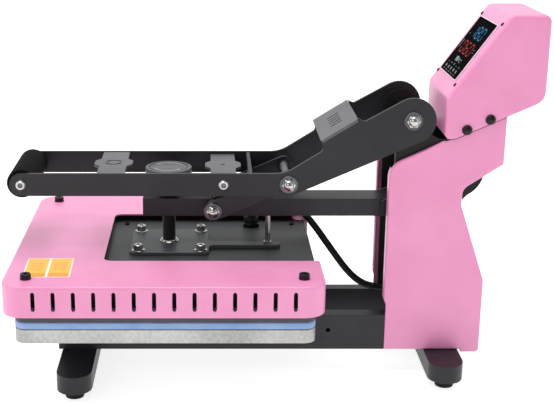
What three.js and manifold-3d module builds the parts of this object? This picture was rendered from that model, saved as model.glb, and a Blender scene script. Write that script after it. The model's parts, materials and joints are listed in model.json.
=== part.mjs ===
// Flat-bed clamshell heat press: a base frame on two cross legs, a tower with the control box,
// a swinging arm that carries the heated platen, and a toggle handle that closes it.
// Millimetres, +Z up. -X is the operator's side, the tower stands at +X, -Y is the near side.
// The origin is on the surface that the feet stand on, under the middle of the whole press.
import * as THREE from 'three';
import { mergeVertices } from 'three/addons/utils/BufferGeometryUtils.js';
import Module from 'manifold-3d';

const wasm = await Module();
wasm.setup();

// ---------------------------------------------------------------- driving dimensions

const GAP = 0.3;                       // running and resting clearance between pieces
const SHEET = 2;                       // thickness of the folded covers
const RAD = Math.PI / 180;

// heights of the stack, from the floor up
const FOOT_TOP = 11.5;
const LEG_TOP = 36;
const RAIL_TOP = 86.5;
const PLATE_BOTTOM = 100.5;
const PLATE_TOP = 119;
const PAD_TOP = 128.75;
const HEATER_BOTTOM = 129;
const HEATER_TOP = 149;
const BOARD_TOP = 165;
const DECK_TOP = 169;
const BRACKET_TOP = 174;
const COVER_BOTTOM = 140;
const COVER_TOP = 180.5;
const BEAM_BOTTOM = 216.75;
const BEAM_TOP = 241.25;

// platen and its cover, all centred on the pressure screw
const PLATEN_X = -139;
const PLATEN_SIZE = 380;
const PLATEN_CORNER = 15;
const COVER_X = -140.5;
const COVER_SIZE = 406;
const COVER_CORNER = 28;
const COVER_CREASE = 3;
const WINDOW_LEFT = -222;
const WINDOW_HALF = 104;
const SLOT_COUNT = 14;
const SLOT_PITCH = 25;
const SLOT_WIDTH = 5.2;
const SLOT_LOW = 148;
const SLOT_HIGH = 174;
const POST_X = 174.5;
const POST_Y = 166;

// base frame
const RAIL_FRONT = -291;
const RAIL_REAR = 283;
const RAIL_IN = 40;
const RAIL_OUT = 60;
const RAIL_WALL = 2.5;
const LEG_WIDTH = 47;
const FRONT_LEG = { x: -262, half: 155 };
const REAR_LEG = { x: 235.5, half: 121 };
const LEG_WALL = 2.5;

// pivots, as [x, z]; every pivot runs along Y
const HANDLE_PIVOT = [182.5, 358.5];
const LINK_PIVOT = [21.75, 272.5];
const BEAM_PIVOT = [-78.25, 229];
const ARM_PIVOT = [244, 288];
const STRUT_FOOT = [215, 52];
const STRUT_EYE = [190, 195];
const GRIP_AXIS = [-332.75, 272.25];

// lever plates, link plates, tower plates and arm cheeks: inner and outer distance from the middle
const LEVER_IN = 58.5;
const LEVER_OUT = 63.5;
const LINK_IN = 38;
const LINK_OUT = 43;
const TOWER_IN = 50;
const TOWER_OUT = 55;
const CHEEK_IN = 22.25;
const CHEEK_OUT = 27.25;
const TOWER_COVER_OUT = 62;
const TOWER_FLANGE_IN = 48;
const BOX_HALF = 66;

// shafts
const LEVER_SHAFT_R = 8;
const ARM_SHAFT_R = 10;
const SCREW_R = 9;
const WASHER_R = 12.5;
const DOME_R = 7.5;

// arm
const BEAM_FRONT = -174;
const BEAM_REAR = 225;
const BEAM_HALF = 22;
const BEAM_WALL = 3;
const GUIDE = { x: -2.5, y: -11, r: 3.5, top: 229 };

// lever
const BAR_HALF = 15.25;
const LEVER_END_R = 30;
const LEVER_SLOPE = 27.5;
const BRIDGE = 4;
const CROSS = 4;
const CROSS_HALF = 58.2;
const BRIDGE_LOW = [62.5, 332];
const BRIDGE_HIGH = [110.5, 361.75];

// pressure knob
const KNOB_R = 32;
const KNOB_BOTTOM = 268;
const KNOB_TOP = 281;

// heater cable
const CABLE_R = 5;
const GLAND = { x: -22, y: 82 };
const CABLE_ROUTE = [
  [-22, 82, 181], [-22, 82, 190], [-20.5, 82, 199], [-15, 81.5, 207.5], [-5, 81, 213.5],
  [8, 80, 215.5], [22, 78, 213.5], [36, 74, 207.5], [50, 68.5, 197.5], [62.5, 62, 184.5],
  [74, 57, 170.5], [85.5, 52, 155], [98.5, 47, 137.5], [113, 41.5, 119], [127, 36.5, 105.5],
  [141, 33, 97.5], [156, 31, 94], [172, 30, 93], [190, 30, 93], [212, 30, 93],
];

// control box
const PANEL_LOW = [223.75, 389.5];
const BOX_TOP = 496;
const PANEL_HIGH = [300, BOX_TOP];
const BOX_REAR = 352.25;
const DISPLAY = { low: 23.5, high: 110.5, half: 48, thick: 1.8 };

// ---------------------------------------------------------------- finishes

const finish = (color, roughness, metalness) => ({ color, roughness, metalness });
const PINK = finish(0xf3a0ca, 0.42, 0.0);
const DARK_PAINT = finish(0x38383c, 0.5, 0.2);
const BLACK_PAINT = finish(0x1b1b1e, 0.5, 0.2);
const CAST_ALUMINIUM = finish(0xc4c4c2, 0.45, 0.9);
const SILICONE = finish(0x9ab6dc, 0.7, 0.0);
const COATED = finish(0x3c4048, 0.5, 0.4);
const STEEL = finish(0xb9b9bb, 0.25, 1.0);
const BLACK_RUBBER = finish(0x141415, 0.85, 0.0);
const BLACK_PLASTIC = finish(0x18181a, 0.45, 0.0);
const BOARD = finish(0xb9b29c, 0.8, 0.0);
const CIRCUIT = finish(0x1f5b36, 0.5, 0.1);
const GLASS_BLACK = finish(0x0b0b0d, 0.12, 0.0);
const COPPER = finish(0x9c5a34, 0.4, 0.8);

// ---------------------------------------------------------------- outlines

const polar = ([cx, cy], r, degrees) => [
  cx + r * Math.cos(degrees * RAD),
  cy + r * Math.sin(degrees * RAD),
];

function arc(centre, r, from, to, steps) {
  const points = [];
  for (let i = 0; i <= steps; i += 1) points.push(polar(centre, r, from + ((to - from) * i) / steps));
  return points;
}

const circle = (centre, r, steps) => arc(centre, r, 0, 360, steps).slice(0, steps);

// Corner [x, y, r] becomes an arc of radius r that touches both of its edges; [x, y] stays sharp.
function rounded(corners, steps = 4) {
  const points = [];
  corners.forEach((corner, i) => {
    const [x, y, r] = corner;
    if (!r) {
      points.push([x, y]);
      return;
    }
    const before = corners[(i + corners.length - 1) % corners.length];
    const after = corners[(i + 1) % corners.length];
    const a = new THREE.Vector2(before[0] - x, before[1] - y).normalize();
    const b = new THREE.Vector2(after[0] - x, after[1] - y).normalize();
    const half = Math.acos(THREE.MathUtils.clamp(a.dot(b), -1, 1)) / 2;
    const reach = r / Math.tan(half);
    const middle = a.clone().add(b).normalize().multiplyScalar(r / Math.sin(half));
    const centre = [x + middle.x, y + middle.y];
    const start = Math.atan2(y + a.y * reach - centre[1], x + a.x * reach - centre[0]) / RAD;
    let sweep = Math.atan2(y + b.y * reach - centre[1], x + b.x * reach - centre[0]) / RAD - start;
    if (sweep > 180) sweep -= 360;
    if (sweep < -180) sweep += 360;
    points.push(...arc(centre, r, start, start + sweep, steps));
  });
  return points;
}

const rectangle = (x0, y0, x1, y1, r = 0, steps = 4) =>
  rounded([[x0, y0, r], [x1, y0, r], [x1, y1, r], [x0, y1, r]], steps);

// Two half circles joined by straight sides.
function stadium(a, b, r, steps = 8) {
  const turn = Math.atan2(b[1] - a[1], b[0] - a[0]) / RAD;
  return [...arc(a, r, turn + 90, turn + 270, steps), ...arc(b, r, turn - 90, turn + 90, steps)];
}

// Moves every edge of a counter-clockwise list of corners inwards by d. A corner that points out
// loses d from its radius and one that points in gains it.
function inset(corners, d) {
  return corners.map(([x, y, r = 0], i) => {
    const before = corners[(i + corners.length - 1) % corners.length];
    const after = corners[(i + 1) % corners.length];
    const n1 = new THREE.Vector2(-(y - before[1]), x - before[0]).normalize();
    const n2 = new THREE.Vector2(-(after[1] - y), after[0] - x).normalize();
    const pointsOut = n1.cross(n2) > 0;
    const sum = n1.add(n2);
    const scale = (2 * d) / sum.lengthSq();
    return [x + sum.x * scale, y + sum.y * scale, pointsOut ? Math.max(r - d, 0) : r + d];
  });
}

// ---------------------------------------------------------------- solids

// Leaves only positions, shares the vertices, drops empty triangles and turns the faces outwards.
function tidy(geometry) {
  const g = geometry.clone();
  g.deleteAttribute('normal');
  g.deleteAttribute('uv');
  const merged = mergeVertices(g, 1e-4);
  const index = merged.index.array;
  const p = merged.attributes.position;
  const kept = [];
  const a = new THREE.Vector3();
  const b = new THREE.Vector3();
  const c = new THREE.Vector3();
  let volume = 0;
  for (let i = 0; i < index.length; i += 3) {
    const [i0, i1, i2] = [index[i], index[i + 1], index[i + 2]];
    if (i0 !== i1 && i1 !== i2 && i2 !== i0) {
      kept.push(i0, i1, i2);
      a.fromBufferAttribute(p, i0);
      b.fromBufferAttribute(p, i1);
      c.fromBufferAttribute(p, i2);
      volume += a.dot(b.cross(c));
    }
  }
  if (volume < 0) kept.reverse();
  merged.setIndex(kept);
  return merged;
}

function toManifold(geometry) {
  const g = tidy(geometry);
  return new wasm.Manifold(new wasm.Mesh({
    numProp: 3,
    vertProperties: new Float32Array(g.attributes.position.array),
    triVerts: new Uint32Array(g.index.array),
  }));
}

function fromManifold(solid) {
  const mesh = solid.getMesh();
  const g = new THREE.BufferGeometry();
  g.setAttribute('position', new THREE.BufferAttribute(mesh.vertProperties, 3));
  g.setIndex(new THREE.BufferAttribute(mesh.triVerts, 1));
  return g;
}

// The first geometry with the joins added, only what lies within each bound kept, and the cuts taken away.
function carve(geometry, { joins = [], bounds = [], cuts = [] }) {
  let solid = toManifold(geometry);
  joins.forEach((piece) => { solid = solid.add(toManifold(piece)); });
  bounds.forEach((piece) => { solid = solid.intersect(toManifold(piece)); });
  cuts.forEach((piece) => { solid = solid.subtract(toManifold(piece)); });
  return fromManifold(solid);
}

function block(x0, x1, y0, y1, z0, z1) {
  const g = new THREE.BoxGeometry(x1 - x0, y1 - y0, z1 - z0);
  g.translate((x0 + x1) / 2, (y0 + y1) / 2, (z0 + z1) / 2);
  return g;
}

function shapeOf(points, holes = []) {
  const shape = new THREE.Shape(points.map(([x, y]) => new THREE.Vector2(x, y)));
  holes.forEach((hole) => shape.holes.push(new THREE.Path(hole.map(([x, y]) => new THREE.Vector2(x, y)))));
  return shape;
}

// A flat slab: the outline lies in X and Y.
function slab(points, z0, z1, holes = []) {
  const g = new THREE.ExtrudeGeometry(shapeOf(points, holes), { depth: z1 - z0, bevelEnabled: false });
  g.translate(0, 0, z0);
  return g;
}

// A flat slab whose top edge is rounded with radius r.
function softSlab(points, z0, z1, r) {
  const g = new THREE.ExtrudeGeometry(shapeOf(points), {
    depth: z1 - z0 - r, bevelEnabled: true, bevelThickness: r, bevelSize: r, bevelOffset: -r, bevelSegments: 4,
  });
  g.translate(0, 0, z0);
  return g;
}

// An upright plate: the outline lies in X and Z, the thickness runs along Y.
function plate(points, y0, y1, holes = []) {
  const g = new THREE.ExtrudeGeometry(shapeOf(points, holes), { depth: y1 - y0, bevelEnabled: false });
  g.rotateX(Math.PI / 2);
  g.translate(0, y1, 0);
  return g;
}

// An upright plate whose edges are rounded with radius r on both faces.
function softPlate(points, y0, y1, r) {
  const g = new THREE.ExtrudeGeometry(shapeOf(points), {
    depth: y1 - y0 - 2 * r, bevelEnabled: true, bevelThickness: r, bevelSize: r, bevelOffset: -r, bevelSegments: 4,
  });
  g.rotateX(Math.PI / 2);
  g.translate(0, y1 - r, 0);
  return g;
}

// A turned piece about an upright axis; the profile is [radius, height].
function turnedUp(profile, x, y, segments = 24) {
  const g = new THREE.LatheGeometry(profile.map(([r, z]) => new THREE.Vector2(r, z)), segments);
  g.rotateX(Math.PI / 2);
  g.translate(x, y, 0);
  return g;
}

// A turned piece about an axis along Y; the profile is [radius, distance along Y].
function turnedAcross(profile, [x, z], segments = 24) {
  const g = new THREE.LatheGeometry(profile.map(([r, y]) => new THREE.Vector2(r, y)), segments);
  g.translate(x, 0, z);
  return g;
}

const rodAcross = ([x, z], r, y0, y1, segments = 24) =>
  turnedAcross([[0, y0], [r, y0], [r, y1], [0, y1]], [x, z], segments);

const rodUp = (x, y, r, z0, z1, segments = 24) =>
  turnedUp([[0, z0], [r, z0], [r, z1], [0, z1]], x, y, segments);

// ---------------------------------------------------------------- scene

const press = new THREE.Group();
press.name = 'clamshell_heat_press';

function add(name, geometry, material) {
  const mesh = new THREE.Mesh(tidy(geometry), new THREE.MeshStandardMaterial(material));
  mesh.name = name;
  press.add(mesh);
  return mesh;
}

// Calls make(name suffix, side) for the near side, -1, and the far side, +1.
function bothSides(make) {
  make('near', -1);
  make('far', 1);
}

// The two ends of a span between inner and outer on one side, in rising order.
const span = (side, inner, outer) => (side < 0 ? [-outer, -inner] : [inner, outer]);

// ---------------------------------------------------------------- base frame

// Rectangular steel tube with open ends and one small fixing hole in its outer face.
function baseRail(suffix, side) {
  const [y0, y1] = span(side, RAIL_IN, RAIL_OUT);
  const hole = { x: 80, z: 64, r: 3 };
  const [h0, h1] = span(side, RAIL_OUT - 2 * RAIL_WALL, RAIL_OUT + 1);
  add(`base_rail_${suffix}`, carve(block(RAIL_FRONT, RAIL_REAR, y0, y1, LEG_TOP, RAIL_TOP), {
    cuts: [
      block(RAIL_FRONT - 1, RAIL_REAR + 1, y0 + RAIL_WALL, y1 - RAIL_WALL, LEG_TOP + RAIL_WALL, RAIL_TOP - RAIL_WALL),
      rodAcross([hole.x, hole.z], hole.r, h0, h1, 12),
    ],
  }), DARK_PAINT);
}

// Pressed channel with half-round ends, open underneath.
function crossLeg(name, { x, half }) {
  const r = LEG_WIDTH / 2;
  const outer = stadium([x, -half + r], [x, half - r], r, 10);
  const inner = stadium([x, -half + r], [x, half - r], r - LEG_WALL, 10);
  add(name, carve(slab(outer, FOOT_TOP, LEG_TOP), {
    cuts: [slab(inner, FOOT_TOP - 1, LEG_TOP - LEG_WALL)],
  }), DARK_PAINT);
}

// Rubber foot on a stud that reaches the underside of the leg's top.
function foot(name, x, y) {
  const stud = LEG_TOP - LEG_WALL - GAP;
  add(name, turnedUp([
    [0, 0], [11, 0], [12.5, 1.5], [12.5, 7], [10.5, 9], [4, 9], [4, stud], [0, stud],
  ], x, y, 20), BLACK_RUBBER);
}

// Hat-shaped cross channel between the rails and the lower platen.
function padSupport(name, x) {
  const half = 18;
  const wall = 3;
  const reach = 140;
  add(name, carve(block(x - half, x + half, -reach, reach, RAIL_TOP, PLATE_BOTTOM), {
    cuts: [block(x - half + wall, x + half - wall, -reach - 1, reach + 1, RAIL_TOP - 1, PLATE_BOTTOM - wall)],
  }), DARK_PAINT);
}

function platenSquare(size, corner, steps = 6, x = PLATEN_X) {
  const half = size / 2;
  return rectangle(x - half, -half, x + half, half, corner, steps);
}

function makeBase() {
  bothSides(baseRail);
  crossLeg('front_leg', FRONT_LEG);
  crossLeg('rear_leg', REAR_LEG);
  [['front', FRONT_LEG], ['rear', REAR_LEG]].forEach(([end, leg]) => {
    bothSides((suffix, side) => foot(`foot_${end}_${suffix}`, leg.x, side * (leg.half - LEG_WIDTH / 2)));
  });
  padSupport('pad_support_front', PLATEN_X - 95);
  padSupport('pad_support_rear', PLATEN_X + 95);
  add('lower_platen', slab(platenSquare(PLATEN_SIZE, PLATEN_CORNER), PLATE_BOTTOM, PLATE_TOP), CAST_ALUMINIUM);
  add('silicone_pad', slab(platenSquare(PLATEN_SIZE, PLATEN_CORNER), PLATE_TOP, PAD_TOP), SILICONE);
}

// ---------------------------------------------------------------- tower

// Load-bearing side plate: an ear for the lever's pivot, a round cheek for the arm's hinge,
// and a tall tab inside the control box.
function towerPlate(suffix, side) {
  const front = 162.5;
  const foot0 = RAIL_TOP;
  const ear = 20.5;
  const cheek = 38;
  const cheekCentre = [ARM_PIVOT[0] - 1, ARM_PIVOT[1] + 2];
  const outline = [
    [front, foot0], [281, foot0], [281, 135], [247, 243],
    ...arc(cheekCentre, cheek, -62, 8, 8),
    [298, 306], [298, 364], [318, 380], [318, 396], [246, 396], [246, 345],
    [234, 333], [220, 331.5], ...arc(HANDLE_PIVOT, ear, -40, 180, 12),
  ];
  const [y0, y1] = span(side, TOWER_IN, TOWER_OUT);
  add(`tower_plate_${suffix}`, plate(outline, y0, y1, [
    circle(HANDLE_PIVOT, LEVER_SHAFT_R + GAP, 24).reverse(),
    circle(ARM_PIVOT, ARM_SHAFT_R + GAP, 24).reverse(),
  ]), BLACK_PAINT);
}

// Side outline of the tower's folded covers.
const COVER_FRONT = 154.5;
const COVER_REAR = 288.5;
const COVER_BACK_TOP = 304.75;
const TOWER_CREASE = 2.5;
const coverCorners = [
  [157.5, LEG_TOP + 0.25], [262, LEG_TOP + 0.25], [263.5, 32], [COVER_REAR, 32, 5],
  [COVER_REAR, 137, 20], [252.25, 243.5, 18], [253.25, 266, 14], [COVER_BACK_TOP, 299.5, 6],
  [COVER_BACK_TOP, 366], [300, 378], [244, 362], [228, 332],
  [COVER_FRONT, 298, 26], [COVER_FRONT, 110, 4], [157.5, 102, 4],
];

// Folded sheet cover: a flat side with a flange round it. The flange stops at the rail,
// at the hinge cheek, beside the tower plate's ear and inside the control box.
function towerCover(suffix, side) {
  const [c0, c1] = span(side, TOWER_FLANGE_IN - 1, TOWER_COVER_OUT - SHEET);
  const [e0, e1] = span(side, TOWER_FLANGE_IN - 1, TOWER_OUT + 1);
  const [b0, b1] = span(side, TOWER_FLANGE_IN, TOWER_COVER_OUT + 1);
  const [s0, s1] = span(side, TOWER_FLANGE_IN - TOWER_CREASE, TOWER_COVER_OUT);
  add(`tower_cover_${suffix}`, carve(softPlate(rounded(coverCorners, 5), s0, s1, TOWER_CREASE), {
    bounds: [block(100, 350, b0, b1, 0, 400)],
    cuts: [
      plate(rounded(inset(coverCorners, SHEET), 5), c0, c1),
      block(150, 200, c0, c1, 30, 106),
      block(150, 285.5, c0, c1, 30, 42),
      block(232, 310, c0, c1, 338, 385),
      block(157.5, 236, e0, e1, 280, 350),
      rodAcross(ARM_PIVOT, 46, e0, e1, 32),
    ],
  }), PINK);
}

// A strip of sheet, bent along [x, z] points, between the flanges of the two covers.
function bentPanel(points, half, outward) {
  const offset = points.map((p, i) => {
    const a = points[Math.max(i - 1, 0)];
    const b = points[Math.min(i + 1, points.length - 1)];
    const n = new THREE.Vector2(b[1] - a[1], -(b[0] - a[0])).normalize();
    return [p[0] - n.x * outward * SHEET, p[1] - n.y * outward * SHEET];
  });
  return plate([...points, ...offset.reverse()], -half, half);
}

const REAR_HALF = TOWER_FLANGE_IN - 0.5;
const INLET = { y: -4, halfY: 15.5, low: 50, high: 106 };

// Rear panel, with the opening for the power inlet.
function rearPanel() {
  const bent = bentPanel([[COVER_REAR, 33], [COVER_REAR, 130], [287.5, 138], [256, 233]], REAR_HALF, 1);
  add('tower_rear_panel', carve(bent, {
    cuts: [block(280, 292, INLET.y - INLET.halfY, INLET.y + INLET.halfY, INLET.low + 3, INLET.high - 3)],
  }), PINK);
  add('tower_back_upper', bentPanel([[283.5, 286.5], [COVER_BACK_TOP, 300.5], [COVER_BACK_TOP, 358]], REAR_HALF, 1), PINK);
}

// Mains inlet: a socket for the cord's plug, and a pocket for the rocker switch above it.
function powerInlet() {
  const face = COVER_REAR;
  const [y, low, high] = [INLET.y, INLET.low, INLET.high];
  const half = INLET.halfY - 0.5;
  add('power_inlet', carve(block(face + GAP, face + 3, y - 18, y + 18, low - 2, high + 2), {
    joins: [block(face - 25, face + GAP + 0.1, y - half, y + half, low + 3.5, high - 3.5)],
    cuts: [
      block(face - 16, face + 4, y - 12, y + 12, low + 7, low + 23),
      block(face - 9, face + 4, y - 7, y + 7, low + 28.2, low + 49.8),
    ],
  }), BLACK_PLASTIC);
}

// Rocker that tips about its middle in the upper pocket of the inlet.
function powerRocker() {
  const face = COVER_REAR;
  const middle = INLET.low + 39;
  add('power_rocker', plate([
    [face - 5, middle - 8.5], [face - 1, middle - 9.3], [face + 1.5, middle - 9], [face + 2.4, middle],
    [face + 4.5, middle + 8.6], [face - 1, middle + 9.3], [face - 5, middle + 8.5], [face - 8, middle],
  ], INLET.y - 6.5, INLET.y + 6.5), BLACK_PLASTIC);
}

// Shouldered shaft that the arm swings on.
function armShaft() {
  const r = ARM_SHAFT_R;
  const shoulder = 14;
  const half = (sign) => [
    [r, sign * (CHEEK_OUT + GAP)], [shoulder, sign * (CHEEK_OUT + GAP)],
    [shoulder, sign * (TOWER_IN - GAP)], [r, sign * (TOWER_IN - GAP)], [r, sign * 58], [0, sign * 58],
  ];
  add('arm_hinge_shaft', turnedAcross([...half(-1).reverse(), ...half(1)], ARM_PIVOT), STEEL);
}

// End of a pivot bolt outside the lever: washer and domed nut, as [radius, distance along Y].
const boltEnd = (sign, r) => [
  [r, sign * (LEVER_OUT + GAP)], [WASHER_R, sign * (LEVER_OUT + GAP)], [WASHER_R, sign * (LEVER_OUT + 2.4)],
  [DOME_R, sign * (LEVER_OUT + 2.4)], [DOME_R, sign * (LEVER_OUT + 5)], [5, sign * (LEVER_OUT + 8)],
  [0, sign * (LEVER_OUT + 9)],
];

function handlePivotShaft() {
  add('handle_pivot_shaft', turnedAcross([
    ...boltEnd(-1, LEVER_SHAFT_R).reverse(), ...boltEnd(1, LEVER_SHAFT_R),
  ], HANDLE_PIVOT), STEEL);
}

// Clamp block on the far rail that holds the heater cable's lower end.
function cableClamp() {
  const end = CABLE_ROUTE[CABLE_ROUTE.length - 1];
  const hole = new THREE.CylinderGeometry(CABLE_R + 0.6, CABLE_R + 0.6, 20, 16);
  hole.rotateZ(Math.PI / 2);
  hole.translate(end[0] - 8, end[1], end[2]);
  add('cable_clamp', carve(block(204, 226, 22, TOWER_IN - GAP, RAIL_TOP, 103), { cuts: [hole] }), BLACK_PLASTIC);
}

function makeTower() {
  bothSides(towerPlate);
  bothSides(towerCover);
  rearPanel();
  powerInlet();
  powerRocker();
  armShaft();
  handlePivotShaft();
  cableClamp();
  add('strut_anchor_pin', rodAcross(STRUT_FOOT, 5, -RAIL_IN + 0.25, RAIL_IN - 0.25, 20), STEEL);
}

// ---------------------------------------------------------------- control box

const boxCorners = [
  [223.75, 333, 8], [239, 335.9, 10], [BOX_REAR, 386.5, 22],
  [BOX_REAR, BOX_TOP, 10], [PANEL_HIGH[0], BOX_TOP, 8], [PANEL_LOW[0], PANEL_LOW[1], 9],
];
const BOX_CREASE = 6;

// The box's block, d inside its outer faces: creased at its sides, and cut off square underneath.
function boxBlock(d) {
  const lowered = boxCorners.map(([x, z, r]) => (z < 388 ? [x, z - 14, r] : [x, z, r]));
  const half = BOX_HALF - d;
  return carve(softPlate(rounded(inset(lowered, d), 5), -half, half, BOX_CREASE - d), {
    bounds: [plate(rounded(inset(boxCorners, d), 5), -BOX_HALF, BOX_HALF)],
  });
}

// Folded shell, open underneath where the tower enters it.
function controlBox() {
  const inner = BOX_HALF - SHEET;
  const mouth = [[226.5, 325], [296, 346], [305.5, 358.5], [305.5, 372], [234, 346], [226.5, 341]];
  const [cx, cz] = [(PANEL_LOW[0] + PANEL_HIGH[0]) / 2, (PANEL_LOW[1] + PANEL_HIGH[1]) / 2];
  const window = new THREE.BoxGeometry(70, 80, 8);
  window.rotateY(-Math.atan2(PANEL_HIGH[1] - PANEL_LOW[1], PANEL_HIGH[0] - PANEL_LOW[0]));
  window.translate(cx, 0, cz);
  add('control_box', carve(boxBlock(0), {
    cuts: [boxBlock(SHEET), plate(mouth, -inner + 0.5, inner - 0.5), window],
  }), PINK);
}

// Lays a slab that spans u along the sloping panel and y across it at a height above the panel.
function onPanel(geometry) {
  const slope = Math.atan2(PANEL_HIGH[1] - PANEL_LOW[1], PANEL_HIGH[0] - PANEL_LOW[0]);
  geometry.rotateY(-slope);
  geometry.translate(PANEL_LOW[0], 0, PANEL_LOW[1]);
  return geometry;
}

function displayAndBoard() {
  const { low, high, half, thick } = DISPLAY;
  add('display_panel', onPanel(slab(rectangle(low, -half, high, half, 3), GAP, GAP + thick)), GLASS_BLACK);
  add('control_board', onPanel(block(low + 6, high - 6, -half + 8, half - 8, -14, -10)), CIRCUIT);
}

// ---------------------------------------------------------------- arm

const leanOf = (from, to) => Math.atan2(to[0] - from[0], to[1] - from[1]);

// Rectangular tube with bores for the screw, the guide pin and the link bush, and two lugs for the strut.
function armBeam() {
  const lug = (y0, y1) => plate([
    [STRUT_EYE[0] - 18, BEAM_BOTTOM + 1], ...arc(STRUT_EYE, 9, 180, 360, 8), [STRUT_EYE[0] + 18, BEAM_BOTTOM + 1],
  ], y0, y1);
  add('arm_beam', carve(block(BEAM_FRONT, BEAM_REAR, -BEAM_HALF, BEAM_HALF, BEAM_BOTTOM, BEAM_TOP), {
    joins: [lug(9, 14), lug(-14, -9)],
    cuts: [
      block(BEAM_FRONT - 1, BEAM_REAR + 1, -BEAM_HALF + BEAM_WALL, BEAM_HALF - BEAM_WALL,
        BEAM_BOTTOM + BEAM_WALL, BEAM_TOP - BEAM_WALL),
      rodUp(PLATEN_X, 0, SCREW_R + 0.4, BEAM_BOTTOM - 1, BEAM_TOP + 1),
      rodUp(GUIDE.x, GUIDE.y, GUIDE.r + 0.4, BEAM_BOTTOM - 1, BEAM_BOTTOM + BEAM_WALL + 1, 16),
      rodAcross(BEAM_PIVOT, LEVER_SHAFT_R + GAP, -BEAM_HALF - 1, BEAM_HALF + 1),
    ],
  }), DARK_PAINT);
}

// Plate welded beside the beam's rear end, rising to the hinge.
function armCheek(suffix, side) {
  const [y0, y1] = span(side, CHEEK_IN, CHEEK_OUT);
  const outline = [
    [150, BEAM_BOTTOM + 2], [232, BEAM_BOTTOM + 2], [262, 262], ...arc(ARM_PIVOT, 26, -30, 150, 10),
    [212, 262], [150, BEAM_TOP - 2],
  ];
  add(`arm_cheek_${suffix}`, plate(outline, y0, y1, [circle(ARM_PIVOT, ARM_SHAFT_R + GAP, 24).reverse()]), DARK_PAINT);
}

// Bush through the beam, with a collar on each side that stands the link plates off it.
function linkBush() {
  const end = LINK_IN - 0.5;
  const collar = 12;
  const half = (sign) => [
    [LEVER_SHAFT_R, sign * (BEAM_HALF + GAP)], [collar, sign * (BEAM_HALF + GAP)],
    [collar, sign * end], [0, sign * end],
  ];
  add('link_bush', turnedAcross([...half(-1).reverse(), ...half(1)], BEAM_PIVOT), STEEL);
}

function makeArm() {
  armBeam();
  bothSides(armCheek);
  linkBush();
  add('screw_collar', turnedUp([
    [SCREW_R + 0.4, BEAM_TOP], [14, BEAM_TOP], [14, 244], [SCREW_R + 0.4, 244], [SCREW_R + 0.4, BEAM_TOP],
  ], PLATEN_X, 0), BLACK_PAINT);
  add('holding_magnet', slab(rectangle(-79.5, -20, -49.5, 20, 4, 3), BEAM_TOP, 271.5), COPPER);
}

// ---------------------------------------------------------------- heated platen

// Insulation board with four posts that carry the cover.
function insulationBoard() {
  const posts = [-1, 1].flatMap((sx) => [-1, 1].map((sy) =>
    rodUp(PLATEN_X + sx * POST_X, sy * POST_Y, 6, BOARD_TOP - 1, COVER_TOP - SHEET - 0.25, 12)));
  add('insulation_board', carve(slab(platenSquare(364, 10, 3), HEATER_TOP, BOARD_TOP), { joins: posts }), BOARD);
}

// Steel deck over the insulation, turned down at its rear edge.
function platenDeck() {
  const rear = 58;
  add('platen_deck', plate([
    [-228, BOARD_TOP], [rear - SHEET, BOARD_TOP], [rear - SHEET, 150], [rear, 150], [rear, DECK_TOP], [-228, DECK_TOP],
  ], -112, 112), COATED);
}

// Folded cover with ventilation slots along both sides and a window that is open to the rear.
function platenCover() {
  const outer = platenSquare(COVER_SIZE, COVER_CORNER, 8, COVER_X);
  const inner = platenSquare(COVER_SIZE - 2 * SHEET, COVER_CORNER - SHEET, 8, COVER_X);
  const half = COVER_SIZE / 2;
  const rear = COVER_X + half;
  const first = PLATEN_X - (SLOT_PITCH * (SLOT_COUNT - 1)) / 2;
  const r = SLOT_WIDTH / 2;
  const slots = [];
  for (let i = 0; i < SLOT_COUNT; i += 1) {
    const x = first + i * SLOT_PITCH;
    const shape = stadium([x, SLOT_LOW + r], [x, SLOT_HIGH - r], r, 3);
    slots.push(plate(shape, -half - 1, -half + SHEET + 1), plate(shape, half - SHEET - 1, half + 1));
  }
  add('platen_cover', carve(softSlab(outer, COVER_BOTTOM, COVER_TOP, COVER_CREASE), {
    cuts: [
      slab(platenSquare(COVER_SIZE + 10, COVER_CORNER, 2, COVER_X), COVER_BOTTOM - 10, COVER_BOTTOM),
      slab(inner, COVER_BOTTOM - 1, COVER_TOP - SHEET),
      slab(rectangle(WINDOW_LEFT, -WINDOW_HALF, rear + 30, WINDOW_HALF, 11, 6), COVER_BOTTOM - 2, COVER_TOP + 1),
      ...slots,
    ],
  }), PINK);
}

// Plate that bolts the deck to the pressure screw, with a tongue for the guide pin.
function screwBracket() {
  add('screw_bracket', slab(rounded([
    [-192, -51, 7], [-84, -51, 7], [-84, -20, 9], [15, -20, 7], [15, -2, 7], [-84, -2, 9],
    [-84, 51, 7], [-192, 51, 7],
  ], 5), DECK_TOP, BRACKET_TOP), COATED);
}

// Gland that the heater cable comes out of.
function cableGland() {
  const bore = CABLE_R + 0.6;
  add('cable_gland', turnedUp([
    [0, DECK_TOP], [13, DECK_TOP], [13, 176], [10.5, 178], [10.5, 184], [8, 193], [bore, 193], [bore, 180], [0, 180],
  ], GLAND.x, GLAND.y, 20), BLACK_PLASTIC);
}

function makePlaten() {
  add('heat_platen', slab(platenSquare(PLATEN_SIZE, PLATEN_CORNER), HEATER_BOTTOM, HEATER_TOP), COATED);
  insulationBoard();
  platenDeck();
  platenCover();
  screwBracket();
  add('guide_pin', rodUp(GUIDE.x, GUIDE.y, GUIDE.r, BRACKET_TOP, GUIDE.top, 16), STEEL);
  cableGland();
}

// ---------------------------------------------------------------- pressure screw

// Plain shank up to the beam, the threaded length that runs in the beam and its collar, and the knob.
const THREAD_LOW = 208;

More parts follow.
